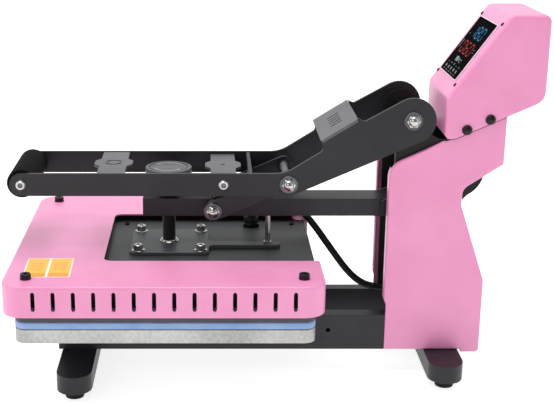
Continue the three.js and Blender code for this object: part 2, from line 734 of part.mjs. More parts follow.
function makeScrew() {
  add('screw_rod', rodUp(PLATEN_X, 0, SCREW_R, BRACKET_TOP + GAP, THREAD_LOW), BLACK_PAINT);
  add('screw_thread', rodUp(PLATEN_X, 0, SCREW_R, THREAD_LOW + GAP, KNOB_BOTTOM - 1), BLACK_PAINT);
  const bore = SCREW_R + GAP;
  add('pressure_knob', turnedUp([
    [0, KNOB_BOTTOM - 0.5], [bore, KNOB_BOTTOM - 0.5], [bore, 245], [14, 245], [14, KNOB_BOTTOM],
    [KNOB_R - 1, KNOB_BOTTOM], [KNOB_R, KNOB_BOTTOM + 1], [KNOB_R, KNOB_TOP - 1], [KNOB_R - 1, KNOB_TOP],
    [0, KNOB_TOP],
  ], PLATEN_X, 0, 36), DARK_PAINT);
}

// ---------------------------------------------------------------- lever

// Drops a point square to the bridge's slope by d.
function belowBridge([x, z], d) {
  const slope = Math.atan2(BRIDGE_HIGH[1] - BRIDGE_LOW[1], BRIDGE_HIGH[0] - BRIDGE_LOW[0]);
  return [x + d * Math.sin(slope), z - d * Math.cos(slope)];
}

// One laser-cut plate: a straight bar, a bend above the link's pivot, a seat for the bridge, a notch
// and a round end at the tower's pivot.
function leverPlate(suffix, side) {
  const [gx, gz] = GRIP_AXIS;
  const lobe = LINK_PIVOT[1] - (gz - BAR_HALF);
  const run = Math.hypot(HANDLE_PIVOT[0] - LINK_PIVOT[0], HANDLE_PIVOT[1] - LINK_PIVOT[1]);
  const rise = Math.atan2(HANDLE_PIVOT[1] - LINK_PIVOT[1], HANDLE_PIVOT[0] - LINK_PIVOT[0]);
  const tangent = (rise - Math.asin((LEVER_END_R - lobe) / run)) / RAD;
  const seat = BRIDGE + GAP;
  const outline = [
    ...arc([gx, gz], BAR_HALF, 90, 270, 10),
    ...arc(LINK_PIVOT, lobe, 270, 270 + tangent, 3),
    ...arc(HANDLE_PIVOT, LEVER_END_R, 270 + tangent, 450 + LEVER_SLOPE, 18),
  ];
  const upper = rounded([
    outline[outline.length - 1], [119, 357.5, 5], [...belowBridge(BRIDGE_HIGH, 0)],
    belowBridge(BRIDGE_HIGH, seat), belowBridge(BRIDGE_LOW, seat),
    [66.5, 318.75, 6], [16.5, gz + BAR_HALF, 45], outline[0],
  ], 5);
  const [y0, y1] = span(side, LEVER_IN, LEVER_OUT);
  add(`lever_plate_${suffix}`, plate([...outline, ...upper.slice(1, -1)], y0, y1, [
    circle(HANDLE_PIVOT, LEVER_SHAFT_R + GAP, 24).reverse(),
    circle(LINK_PIVOT, LEVER_SHAFT_R + GAP, 24).reverse(),
  ]), DARK_PAINT);
}

// Plate across the top of the lever, with a row of plain slots.
function leverBridge() {
  const length = Math.hypot(BRIDGE_HIGH[0] - BRIDGE_LOW[0], BRIDGE_HIGH[1] - BRIDGE_LOW[1]) - 0.5;
  const slots = [-24, -12, 0, 12, 24].map((y) => stadium([length / 2 - 7, y], [length / 2 + 7, y], 2, 4).reverse());
  const g = slab(rectangle(0, -LEVER_OUT, length, LEVER_OUT, 2, 2), -BRIDGE, 0, slots);
  g.rotateY(-Math.atan2(BRIDGE_HIGH[1] - BRIDGE_LOW[1], BRIDGE_HIGH[0] - BRIDGE_LOW[0]));
  g.translate(BRIDGE_LOW[0], 0, BRIDGE_LOW[1]);
  add('lever_bridge', g, DARK_PAINT);
}

// Flat bar across the lever with a round lobe on each edge.
function crossBar(name, x, half, lobe, top, holes) {
  const reach = 20;
  const outline = rounded([
    [x - half, -CROSS_HALF], [x + half, -CROSS_HALF], [x + half, -reach, 3], [x + lobe, -reach / 2, 5],
    [x + lobe, reach / 2, 5], [x + half, reach, 3], [x + half, CROSS_HALF], [x - half, CROSS_HALF],
    [x - half, reach, 3], [x - lobe, reach / 2, 5], [x - lobe, -reach / 2, 5], [x - half, -reach, 3],
  ], 3);
  add(name, slab(outline, top - CROSS, top, holes), DARK_PAINT);
}

// A slot that follows an arc about a centre.
const arcSlot = (centre, inner, outer, from, to) =>
  [...arc(centre, outer, from, to, 8), ...arc(centre, inner, to, from, 8)].reverse();

function linkPivotShaft() {
  const half = (sign) => [
    [9, sign * (LINK_IN - GAP)], [LEVER_SHAFT_R, sign * (LINK_IN - GAP)],
    [LEVER_SHAFT_R, sign * (LINK_OUT + GAP)], [11, sign * (LINK_OUT + GAP)],
    [11, sign * (LEVER_IN - GAP)], [LEVER_SHAFT_R, sign * (LEVER_IN - GAP)],
    ...boltEnd(sign, LEVER_SHAFT_R),
  ];
  add('link_pivot_shaft', turnedAcross([...half(-1).reverse(), ...half(1)], LINK_PIVOT), STEEL);
}

function makeLever() {
  bothSides(leverPlate);
  leverBridge();
  const top = GRIP_AXIS[1] + BAR_HALF - 0.5;
  crossBar('crossbar_front', -214, 18.5, 26, top, [
    arcSlot([-214, 0], 8.5, 12.5, 20, 160), arcSlot([-214, 0], 8.5, 12.5, 200, 340),
  ]);
  crossBar('crossbar_rear', -64.5, 17, 24.5, 284, [circle([-64.5, 0], 3, 12).reverse()]);
  add('spreader_plate', block(-31, -26, -CROSS_HALF, CROSS_HALF, 268, top), DARK_PAINT);
  add('armature_plate', slab(rectangle(-79.5, -20, -49.5, 20, 4, 3), 272, 280), STEEL);
  add('grip_tube', rodAcross(GRIP_AXIS, 9, -CROSS_HALF, CROSS_HALF), STEEL);
  const foam = CROSS_HALF - 0.5, r = BAR_HALF + 4.25;
  add('grip_foam', turnedAcross([
    [9 + GAP, -foam], [r - 1, -foam], [r, -foam + 1.5], [r, foam - 1.5], [r - 1, foam], [9 + GAP, foam],
    [9 + GAP, -foam],
  ], GRIP_AXIS, 28), BLACK_RUBBER);
  linkPivotShaft();
}

function makeLinks() {
  bothSides((suffix, side) => {
    const [y0, y1] = span(side, LINK_IN, LINK_OUT);
    add(`toggle_link_${suffix}`, plate(stadium(BEAM_PIVOT, LINK_PIVOT, 13.5, 12), y0, y1, [
      circle(LINK_PIVOT, LEVER_SHAFT_R + GAP, 24).reverse(),
    ]), DARK_PAINT);
  });
}

// ---------------------------------------------------------------- gas strut

const STRUT_LENGTH = Math.hypot(STRUT_EYE[0] - STRUT_FOOT[0], STRUT_EYE[1] - STRUT_FOOT[1]);

// Turns a piece built upright on its foot pivot to lie along the strut.
function alongStrut(name, geometry, material) {
  const mesh = add(name, geometry, material);
  mesh.position.set(STRUT_FOOT[0], 0, STRUT_FOOT[1]);
  mesh.rotation.y = leanOf(STRUT_FOOT, STRUT_EYE);
}

function makeStrut() {
  const eye = (z, r) => rodAcross([0, z], r, -6, 6, 24);
  alongStrut('strut_cylinder', carve(rodUp(0, 0, 11, 14, 114), {
    joins: [eye(0, 9.5), block(-5, 5, -5, 5, 5, 16)],
    cuts: [rodUp(0, 0, 4.4, 20, 115, 20), rodAcross([0, 0], 5.3, -7, 7, 24)],
  }), BLACK_PAINT);
  alongStrut('strut_rod', carve(rodUp(0, 0, 4, 22, STRUT_LENGTH - 3, 20), {
    joins: [eye(STRUT_LENGTH, 8.5), rodAcross([0, STRUT_LENGTH], 5, -8.7, 8.7, 24)],
  }), STEEL);
}

// ---------------------------------------------------------------- heater cable

function makeCable() {
  const path = new THREE.CatmullRomCurve3(CABLE_ROUTE.map(([x, y, z]) => new THREE.Vector3(x, y, z)), false, 'centripetal');
  const section = shapeOf(circle([0, 0], CABLE_R, 8));
  add('heater_cable', new THREE.ExtrudeGeometry(section, { steps: 40, bevelEnabled: false, extrudePath: path }), BLACK_RUBBER);
}

makeBase();
makeTower();
controlBox();
displayAndBoard();
makeArm();
makePlaten();
makeScrew();
makeLever();
makeLinks();
makeStrut();
makeCable();

export default press;
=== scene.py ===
"""Clamshell heat press: finishes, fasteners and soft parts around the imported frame.

All lengths are metres unless a name ends in _MM. +X runs from the operator's grip to the tower, +Z is up.
"""

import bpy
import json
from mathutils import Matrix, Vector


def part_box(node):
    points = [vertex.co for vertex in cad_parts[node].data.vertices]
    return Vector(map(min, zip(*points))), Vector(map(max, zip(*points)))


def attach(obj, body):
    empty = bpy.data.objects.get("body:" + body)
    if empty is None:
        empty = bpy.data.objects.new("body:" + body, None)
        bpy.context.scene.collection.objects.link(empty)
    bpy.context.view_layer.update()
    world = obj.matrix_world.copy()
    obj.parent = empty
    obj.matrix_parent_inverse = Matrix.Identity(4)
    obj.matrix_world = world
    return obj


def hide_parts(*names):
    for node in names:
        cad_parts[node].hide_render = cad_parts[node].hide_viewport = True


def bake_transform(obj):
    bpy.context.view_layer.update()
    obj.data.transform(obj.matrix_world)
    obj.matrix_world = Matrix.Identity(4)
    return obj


bl_info = {
    "name": "Clamshell heat press",
    "version": (1, 0, 0),
    "blender": (4, 5, 0),
    "location": "View3D > Sidebar > Heat press",
    "description": "Builds the visible model of a flat-bed clamshell heat press around its frame",
    "category": "Add Mesh",
}

import json
import math

import bmesh
import bpy
import numpy as np
from mathutils import Vector

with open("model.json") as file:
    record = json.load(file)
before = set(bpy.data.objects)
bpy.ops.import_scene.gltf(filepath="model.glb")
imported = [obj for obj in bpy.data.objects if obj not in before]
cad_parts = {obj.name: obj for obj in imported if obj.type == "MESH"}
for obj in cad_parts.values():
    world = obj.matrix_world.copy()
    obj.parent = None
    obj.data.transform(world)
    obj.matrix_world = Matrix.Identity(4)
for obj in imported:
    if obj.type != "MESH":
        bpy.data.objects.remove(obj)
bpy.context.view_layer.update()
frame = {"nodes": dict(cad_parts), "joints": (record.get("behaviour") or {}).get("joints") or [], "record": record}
NODES = frame["nodes"]
JOINTS = {joint["name"]: joint for joint in frame["joints"]}

MM = 0.001
TURN = 2 * math.pi

# Lean of the control box's display face, in degrees from level.
DISPLAY_SLOPE = 54.4
# A frame node's edge that turns by more than this stays sharp and is broken.
CORNER = math.radians(34)


# ---------------------------------------------------------------- places read from the frame

def low(node):
    return np.array(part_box(node)[0])


def high(node):
    return np.array(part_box(node)[1])


def middle(node):
    return (low(node) + high(node)) / 2


def pivot(joint):
    """The joint's axis point, as x and z."""
    x, _, z = JOINTS[joint]["pos_m"]
    return x, z


PLATEN_X = middle("heat_platen")[0]
LEVER_FACE = high("lever_plate_far")[1]
LINK_FACE = high("toggle_link_far")[1]
GRIP_X, _, GRIP_Z = middle("grip_tube")
GLAND_X, GLAND_Y, _ = middle("cable_gland")
DECK_TOP = high("platen_deck")[2]
BRACKET_TOP = high("screw_bracket")[2]
COVER_TOP = high("platen_cover")[2]


# ---------------------------------------------------------------- colours and nodes

def linear(code):
    """sRGB hex to linear RGB: each channel over 12.92 below 0.04045, else ((c + 0.055) / 1.055) to the 2.4."""
    c = np.array([int(code[i:i + 2], 16) for i in (1, 3, 5)]) / 255
    return tuple(np.where(c <= 0.04045, c / 12.92, ((c + 0.055) / 1.055) ** 2.4))


def rgba(value):
    return (*(linear(value) if isinstance(value, str) else value), 1.0)


def put(tree, kind, inputs=None, **settings):
    """Adds a node: its settings are attributes, and each input takes a value or another node's output."""
    made = tree.nodes.new(kind)
    for key, value in settings.items():
        setattr(made, key, value)
    for key, value in (inputs or {}).items():
        if isinstance(value, bpy.types.NodeSocket):
            tree.links.new(value, made.inputs[key])
        else:
            made.inputs[key].default_value = value
    return made


def blank(name, **values):
    """A new material with its shader; values are set on the shader's own sockets."""
    material = bpy.data.materials.new(name)
    material.use_nodes = True
    tree = material.node_tree
    tree.nodes.clear()
    shader = put(tree, "ShaderNodeBsdfPrincipled", values)
    put(tree, "ShaderNodeOutputMaterial", {"Surface": shader.outputs[0]})
    where = put(tree, "ShaderNodeTexCoord").outputs["Object"]
    return material, tree, shader, where


def noise(tree, where, size_mm, detail=2.0, roughness=0.5, stretch=(1, 1, 1)):
    """Noise whose lumps are size_mm across, longer along an axis where stretch is above 1."""
    scaled = put(tree, "ShaderNodeMapping", {"Vector": where, "Scale": tuple(1 / s for s in stretch)})
    return put(tree, "ShaderNodeTexNoise", {
        "Vector": scaled.outputs[0], "Scale": 1000 / size_mm, "Detail": detail, "Roughness": roughness,
    }).outputs["Fac"]


def ramp(tree, factor, stops):
    """Colour ramp; stops are (place, colour)."""
    made = put(tree, "ShaderNodeValToRGB", {"Fac": factor})
    elements = made.color_ramp.elements
    for index, (place, colour) in enumerate(stops):
        element = elements[index] if index < 2 else elements.new(place)
        element.position = place
        element.color = rgba(colour)
    return made.outputs["Color"]


def spread(tree, factor, low_value, high_value):
    """Carries a noise factor, mostly 0.3 to 0.7, to low_value..high_value, and holds it there."""
    return put(tree, "ShaderNodeMapRange", {
        "Value": factor, "From Min": 0.3, "From Max": 0.7, "To Min": low_value, "To Max": high_value,
    }).outputs["Result"]


def tint(tree, shader, factor, dark, light):
    """Base colour that goes from dark to light with a noise factor."""
    tree.links.new(ramp(tree, factor, [(0.3, dark), (0.7, light)]), shader.inputs["Base Color"])


def rough(tree, shader, factor, low_value, high_value):
    tree.links.new(spread(tree, factor, low_value, high_value), shader.inputs["Roughness"])


def bump(tree, shader, height, depth_mm):
    made = put(tree, "ShaderNodeBump", {"Height": height, "Distance": depth_mm * MM, "Strength": 1.0})
    tree.links.new(made.outputs["Normal"], shader.inputs["Normal"])


# ---------------------------------------------------------------- finishes

def powder_coat(name, dark, light, peel_mm, peel_depth_mm, roughness, coat=0.0, gloss=0.5):
    """Sprayed and baked polyester powder: a soft sheen over fine orange peel, a little dust in the tone."""
    material, tree, shader, where = blank(name, **{
        "Coat Weight": coat, "Coat Roughness": 0.3, "Specular IOR Level": gloss,
    })
    cloudy = noise(tree, where, 60, 4)
    tint(tree, shader, cloudy, dark, light)
    peel = noise(tree, where, peel_mm, 3)
    rough(tree, shader, peel, roughness - 0.05, roughness + 0.07)
    bump(tree, shader, peel, peel_depth_mm)
    return material


def brushed_metal(name, dark, light, stretch, roughness, scratch_depth_mm=0.012):
    """Bare metal with fine tool marks drawn out along one axis."""
    material, tree, shader, where = blank(name, Metallic=1.0)
    marks = noise(tree, where, 0.8, 4, 0.6, stretch)
    stain = noise(tree, where, 25, 3)
    mixed = put(tree, "ShaderNodeMath", {0: marks, 1: stain}, operation="MULTIPLY_ADD")
    mixed.inputs[2].default_value = 0.25
    tree.links.new(ramp(tree, mixed.outputs[0], [(0.35, dark), (0.65, light)]), shader.inputs["Base Color"])
    rough(tree, shader, stain, roughness - 0.06, roughness + 0.1)
    bump(tree, shader, marks, scratch_depth_mm)
    return material


def cast_aluminium():
    """Gravity-cast aluminium with a milled rim: mottled grey-white skin with faint upright tool marks."""
    material, tree, shader, where = blank("cast_aluminium", Metallic=0.7)
    mottle = noise(tree, where, 5, 6, 0.7)
    cloud = noise(tree, where, 90, 2)
    tone = put(tree, "ShaderNodeMath", {0: mottle, 1: cloud}, operation="ADD")
    half = put(tree, "ShaderNodeMath", {0: tone.outputs[0], 1: 0.5}, operation="MULTIPLY")
    stops = [(0.38, "#8f8f8d"), (0.5, "#a9a9a7"), (0.62, "#c0c0be")]
    tree.links.new(ramp(tree, half.outputs[0], stops), shader.inputs["Base Color"])
    rough(tree, shader, mottle, 0.34, 0.56)
    bump(tree, shader, noise(tree, where, 1.4, 4, 0.6), 0.06)
    return material


def moulded(name, dark, light, grain_mm, depth_mm, roughness, gloss):
    """Moulded rubber or plastic with a fine spark-eroded grain."""
    material, tree, shader, where = blank(name, **{"Specular IOR Level": gloss})
    tone = noise(tree, where, 18, 3)
    tint(tree, shader, tone, dark, light)
    grain = noise(tree, where, grain_mm, 3, 0.6)
    rough(tree, shader, grain, roughness - 0.06, roughness + 0.08)
    bump(tree, shader, grain, depth_mm)
    return material


def foamed_silicone():
    """Foamed silicone sheet: chalky blue, with open cells about 1.5 mm across that show on its cut edge."""
    material, tree, shader, where = blank("foamed_silicone", **{
        "Subsurface Weight": 0.12, "Subsurface Scale": 0.002, "Subsurface Radius": (0.4, 0.6, 1.0),
    })
    tone = noise(tree, where, 30, 4)
    tint(tree, shader, tone, "#7f9cca", "#94aed6")
    cells = put(tree, "ShaderNodeTexVoronoi", {"Vector": where, "Scale": 1000 / 1.5}).outputs["Distance"]
    rough(tree, shader, cells, 0.6, 0.8)
    bump(tree, shader, cells, 0.12)
    return material


def mineral_board():
    """Pressed mineral fibre board, dark and fibrous: its near-black tone is painted shade for the recess under the
    cover.
    """
    material, tree, shader, where = blank("mineral_board", Roughness=0.9)
    fibre = noise(tree, where, 1.2, 5, 0.7, (6, 1, 1))
    tint(tree, shader, fibre, "#1a1719", "#2c272a")
    bump(tree, shader, fibre, 0.2)
    return material


def solder_mask():
    """Lacquered circuit laminate: green, with 2 mm copper tracks showing through as a lighter grid."""
    material, tree, shader, where = blank("solder_mask", Roughness=0.35)
    tracks = put(tree, "ShaderNodeTexBrick", {
        "Vector": where, "Scale": 160.0, "Color1": rgba("#1c5a34"), "Color2": rgba("#226a3e"),
        "Mortar": rgba("#3b8a58"), "Mortar Size": 0.05,
    })
    tree.links.new(tracks.outputs["Color"], shader.inputs["Base Color"])
    bump(tree, shader, tracks.outputs["Fac"], 0.04)
    return material


def lamp(name, code, strength):
    """A lit segment behind tinted acrylic, with the uneven glow of its diode."""
    material, tree, shader, where = blank(name, **{
        "Roughness": 0.4, "Specular IOR Level": 0.05, "Emission Strength": strength,
    })
    glow = noise(tree, where, 3, 1)
    dim = tuple(0.45 * c for c in linear(code))
    lit = ramp(tree, glow, [(0.3, dim), (0.7, code)])
    tree.links.new(lit, shader.inputs["Emission Color"])
    shaded = put(tree, "ShaderNodeMix", {"Factor": 0.85, "A": lit, "B": (0, 0, 0, 1)}, data_type="RGBA")
    tree.links.new(shaded.outputs["Result"], shader.inputs["Base Color"])
    return material


def coated_paper(name, dark, light):
    """Printed and laminated label stock: even ink with a faint mottle under a semi-gloss film."""
    material, tree, shader, where = blank(name, **{"Coat Weight": 0.4, "Coat Roughness": 0.2})
    mottle = noise(tree, where, 4, 4)
    tint(tree, shader, mottle, dark, light)
    rough(tree, shader, mottle, 0.35, 0.5)
    bump(tree, shader, mottle, 0.01)
    return material


def make_finishes(settings):
    """Every finish on the press, by the maker's short name for it."""
    shade, tint = settings.cover_dark, settings.cover_light
    return {
        # Covers: pale pink with a clear gloss that whitens at a low angle.
        "pink": powder_coat("pink_powder_coat", shade, tint, 1.1, 0.012, 0.4, 0.4),
        # Rails, beam and lever plates: near-black grey, satin.
        "grey": powder_coat("graphite_powder_coat", "#1b1a1f", "#252429", 0.8, 0.035, 0.4, gloss=0.36),
        # Knob, crossbars and bridge: a lighter grey. On the crossbars and bridge it is the lever plates' grey
        # paint with painted light from above.
        "knob_grey_and_lit_bars": powder_coat("knob_grey_and_lit_bar_paint", "#4a4a4e", "#57575b", 0.7, 0.020, 0.36),
        # Tower plates, screw and strut: deep black with little sheen.
        "black": powder_coat("black_powder_coat", "#0b0a0c", "#131214", 0.8, 0.035, 0.46, gloss=0.3),
        # Deck and bracket: the same heat paint, a dull green-grey. The deck is darkened with painted shade from
        # the beam above it; the bracket is a copy made lighter with painted light.
        "deck": powder_coat("deck_heat_paint_in_painted_shade", "#303334", "#3d4142", 0.9, 0.035, 0.48, gloss=0.4),
        "bracket": powder_coat("bracket_heat_paint_painted_lit", "#393d3f", "#45494b", 0.9, 0.035, 0.42),
        # Heated face: smooth blue-grey baked coating.
        "heater": powder_coat("heater_non_stick", "#2e3138", "#3a3e47", 0.6, 0.015, 0.4),
        # Plain hardware: soft grey metal with drawn marks along it.
        "steel": brushed_metal("zinc_plated_steel", "#8f8f8d", "#c2c2bf", (1, 1, 6), 0.22),
        # Lower platen's rim: pale mottled metal, rough as cast.
        "cast": cast_aluminium(),
        # Nuts and bolt heads: bright, with sharp dark and light bands.
        "chrome": brushed_metal("turned_nickel_plate", "#9c9c9a", "#d2d2cf", (1, 1, 1), 0.1, 0.003),
        # Washers: darker metal, so that the bright nut stands out from them.
        "washer": brushed_metal("phosphated_steel_washer", "#56565a", "#727276", (1, 1, 1), 0.26, 0.004),
        # Magnet: brown lacquer over iron.
        "iron": brushed_metal("lacquered_magnet_iron", "#6a5148", "#8b6e60", (1, 1, 1), 0.4),
        # Pad: chalky blue, no shine.
        "silicone": foamed_silicone(),
        # Feet and gasket, foam grip, cable: three blacks, from matt to a faint sheen.
        "rubber": moulded("black_rubber", "#0a0a0b", "#131314", 0.9, 0.05, 0.62, 0.3),
        "foam": moulded("foam_rubber_grip", "#070707", "#101010", 1.3, 0.16, 0.85, 0.1),
        "sheath": moulded("cable_sheath_rubber", "#060606", "#0e0e0e", 1.5, 0.03, 0.45, 0.25),
        # Cover and panel screws, gland: smooth black plastic with small highlights.
        "nylon": moulded("black_nylon", "#070708", "#0f0f11", 0.6, 0.03, 0.32, 0.3),
        # Display window: almost pure black, so that the lit segments carry it.
        "acrylic": moulded("tinted_acrylic", "#020203", "#040405", 4.0, 0.003, 0.3, 0.001),
        # Inside the platen and the box: fibrous board darkened with painted shade, and green laminate.
        "board": mineral_board(),
        "circuit": solder_mask(),
        # Lit segments: an uneven glow, blue above red, and dim white marks.
        "blue_lamp": lamp("blue_segment_lamp", "#2b8fd0", 0.62),
        "red_lamp": lamp("red_segment_lamp", "#cf231a", 0.55),
        "white_lamp": lamp("white_segment_lamp", "#b9c4c8", 0.45),
        # Label: laminated film, a soft gloss. Display rim: the same film in pale pink, a painted highlight along
        # the window's edge.
        "label_white": coated_paper("label_white_film", "#f0eee8", "#fbf9f4"),
        "highlight_rim": coated_paper("display_rim_painted_highlight", "#e9cfdb", "#f3dbe5"),
        # Spacer on the link's pivot: dull dark metal with marks round it.
        "sleeve": brushed_metal("oiled_spacer_steel", "#4b4b4e", "#6b6b6e", (1, 6, 1), 0.24, 0.006),
        # Label inks: warm yellow and orange, flat.
        "label_yellow": coated_paper("label_yellow_ink", "#f6b12f", "#fdc447"),
        "label_orange": coated_paper("label_orange_ink", "#ee9320", "#f6a22b"),
        # Arrows on the knob: flat silver ink.
        "mark": coated_paper("silver_knob_print", "#9a9a98", "#b4b4b2"),
        # Inlet blades: warm yellow metal.
        "brass": brushed_metal("brass_contact", "#a07a34", "#d0a458", (1, 1, 4), 0.25),
    }


FINISH = {}


# ---------------------------------------------------------------- surfaces

def strip_faces(rows, columns, wrap_rows=False):
    """Quads of a grid whose columns close on themselves."""
    a, b = np.meshgrid(np.arange(rows if wrap_rows else rows - 1), np.arange(columns), indexing="ij")
    a2, b2 = (a + 1) % rows, (b + 1) % columns
    corners = [a * columns + b, a * columns + b2, a2 * columns + b2, a2 * columns + b]
    return np.stack(corners, -1).reshape(-1, 4).tolist()


def closed_grid(points, wrap_rows=False):
    """Rings of points joined in order; unless the rings close on each other, the first and last are capped."""
    rows, columns, _ = points.shape
    faces = strip_faces(rows, columns, wrap_rows)
    if not wrap_rows:
        ring = np.arange(columns)
        faces.append(ring[::-1].tolist())
        faces.append((ring + (rows - 1) * columns).tolist())
    return points.reshape(-1, 3), faces


def basis(axis):
    """Two unit vectors square to axis and to each other, and axis itself made a unit."""
    w = np.array(axis, float) / np.linalg.norm(axis)
    u = np.cross((0, 1, 0) if abs(w[1]) < 0.9 else (1, 0, 0), w)
    u /= np.linalg.norm(u)
    return u, np.cross(w, u), w


def turned(profile, centre, axis=(0, 0, 1), segments=40, wrap_rows=False):
    """Ring of radius r at height h along axis for each (r, h) row. A third number makes the ring a polygon with
    that many sides, its flats r from the axis: the radius is r / cos(angle from the nearest flat's middle)."""
    rows = np.array([(*row, 0)[:3] for row in profile], float)
    radius, height, sides = rows[:, :1], rows[:, 1:2], rows[:, 2:3]
    t = np.arange(segments)[None] * TURN / segments
    sector = TURN / np.maximum(sides, 1)
    off = (t + sector / 2) % sector - sector / 2
    radius = np.where(sides > 0, radius / np.cos(np.where(sides > 0, off, 0)), radius)
    u, v, w = basis(axis)
    points = np.array(centre) + (
        (radius * np.cos(t))[..., None] * u + (radius * np.sin(t))[..., None] * v
        + (height + 0 * t)[..., None] * w
    )
    return closed_grid(points, wrap_rows)


def in_mm(rows, z=0.0, radius=0.0):
    """Profile rows given in millimetres from height z and from a radius; a third number is kept."""
    return [(radius + r * MM, z + h * MM, *sides) for r, h, *sides in rows]


def swept(path, section, reference=(0, 1, 0)):
    """A closed section carried along a path: side = tangent x reference, up = side x tangent."""
    path = np.array(path, float)
    tangent = np.gradient(path, axis=0)
    tangent /= np.linalg.norm(tangent, axis=1, keepdims=True)
    side = np.cross(tangent, reference)
    side /= np.linalg.norm(side, axis=1, keepdims=True)
    up = np.cross(side, tangent)
    section = np.array(section)
    points = path[:, None] + section[None, :, :1] * side[:, None] + section[None, :, 1:] * up[:, None]
    return closed_grid(points)


def plate(outline, levels, place):
    """An outline of (a, b) points stacked at (inset, height) levels: each point moves inwards by inset along the
    mean of its two edge normals over their half-angle cosine. place carries (a, b, height) into the frame."""
    p = np.array(outline, float)
    ahead = np.roll(p, -1, 0) - p
    ahead /= np.linalg.norm(ahead, axis=1, keepdims=True)
    behind = np.roll(ahead, 1, 0)
    inward = np.stack([-(ahead[:, 1] + behind[:, 1]), ahead[:, 0] + behind[:, 0]], -1)
    inward *= 2 / np.maximum((inward ** 2).sum(1, keepdims=True), 0.5)
    inset, height = np.array(levels, float).T
    flat = p[None] + inset[:, None, None] * inward[None]
    stacked = np.concatenate([flat, np.broadcast_to(height[:, None, None], (*flat.shape[:2], 1))], -1)
    return closed_grid(place(stacked))


def rounded_box_outline(x0, y0, x1, y1, r, steps=8):
    """Counter-clockwise rectangle with quarter-circle corners."""
    t = np.linspace(0, TURN / 4, steps + 1)
    corners = [(x1 - r, y0 + r, -1), (x1 - r, y1 - r, 0), (x0 + r, y1 - r, 1), (x0 + r, y0 + r, 2)]
    return np.concatenate([
        np.stack([x + r * np.cos(t + q * TURN / 4), y + r * np.sin(t + q * TURN / 4)], -1) for x, y, q in corners
    ])


def arc_band(radius, half_width, start, end, steps=24):
    """Counter-clockwise outline of a band that follows a circle from start to end, in degrees."""
    t = np.radians(np.linspace(start, end, steps))
    ring = np.stack([np.cos(t), np.sin(t)], -1)
    return np.concatenate([ring * (radius + half_width), ring[::-1] * (radius - half_width)])


def soft_levels(z0, z1, r, steps=4):
    """Levels of a slab from z0 to z1 whose two edges are quarter circles of radius r."""
    t = np.linspace(0, TURN / 4, steps + 1)
    lower = np.stack([r * (1 - np.sin(t)), z0 + r * (1 - np.cos(t))], -1)
    upper = np.stack([r * (1 - np.cos(t)), z1 - r * (1 - np.sin(t))], -1)
    return np.concatenate([lower, upper])


def flat_place(centre=(0, 0, 0), axis=(0, 0, 1), along=None):
    """Carries (a, b, height) to centre + a * u + b * v + height * w, with w = axis and u = along."""
    u, v, w = basis(axis)
    if along is not None:
        u = np.array(along, float) / np.linalg.norm(along)
        v = np.cross(w, u)
    return lambda p: np.array(centre) + p[..., :1] * u + p[..., 1:2] * v + p[..., 2:] * w


def smooth_route(points, count):
    """A curve through the points: between two of them it is the cubic whose slopes are half the chord of their
    neighbours (Catmull-Rom), sampled evenly in its parameter."""
    p = np.array(points, float)
    p = np.concatenate([2 * p[:1] - p[1:2], p, 2 * p[-1:] - p[-2:-1]])
    t = np.linspace(0, len(points) - 1 - 1e-9, count)
    i = t.astype(int)
    f = (t - i)[:, None]
    a, b, c, d = p[i], p[i + 1], p[i + 2], p[i + 3]
    return 0.5 * (2 * b + (c - a) * f + (2 * a - 5 * b + 4 * c - d) * f ** 2 + (3 * b - a - 3 * c + d) * f ** 3)


def circle(radius, sides=16):
    t = np.arange(sides) * TURN / sides
    return np.stack([radius * np.cos(t), radius * np.sin(t)], -1)


def piece(name, surfaces, finish, body, stands_for=(), sharp=38):
    """Joins closed surfaces into one object, turns its faces outwards, and rides it on a body."""
    points, faces, start = [], [], 0
    for p, f in surfaces:
        points.append(p)
        faces.extend([index + start for index in face] for face in f)
        start += len(p)
    mesh = bpy.data.meshes.new(name)
    mesh.from_pydata(np.concatenate(points).tolist(), [], faces)
    work = bmesh.new()
    work.from_mesh(mesh)
    bmesh.ops.remove_doubles(work, verts=work.verts, dist=1e-6)
    bmesh.ops.dissolve_degenerate(work, edges=work.edges, dist=1e-6)
    bmesh.ops.recalc_face_normals(work, faces=work.faces)
    work.to_mesh(mesh)
    work.free()
    mesh.shade_smooth()
    mesh.set_sharp_from_angle(angle=math.radians(sharp))
    mesh.materials.append(FINISH[finish])
    made = bpy.data.objects.new(name, mesh)
    bpy.context.scene.collection.objects.link(made)
    if body:
        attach(made, body)
    if stands_for:
        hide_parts(*stands_for)
    return made


# ---------------------------------------------------------------- fasteners

def domed_nut(centre, axis, nut, dome):
    """Hexagonal nut with a chamfered crown, and a half-ball cap."""
    t = np.linspace(0, TURN / 4, 9)
    cap = [(dome * math.cos(a), 4.0 * MM + dome * 0.72 * math.sin(a)) for a in t]
    return [turned([
        (0, 1.8 * MM), (nut, 1.8 * MM, 6), (nut, 3.4 * MM, 6), (nut - 0.5 * MM, 3.9 * MM), (dome, 4.0 * MM), *cap,
    ], centre, axis, 48)]


def washer_ring(centre, axis, radius):
    """Washer: a disc with a rolled outer edge, a shallow groove, and a step up to the nut."""
    return [turned([
        (0, 0), (radius, 0), (radius, 1.0 * MM), (radius - 0.25 * MM, 1.5 * MM), (radius - 0.7 * MM, 1.8 * MM),
        (radius * 0.91, 1.8 * MM), (radius * 0.87, 1.1 * MM), (radius * 0.76, 1.1 * MM), (radius * 0.73, 1.6 * MM),
        (0, 1.6 * MM),
    ], centre, axis, 48)]


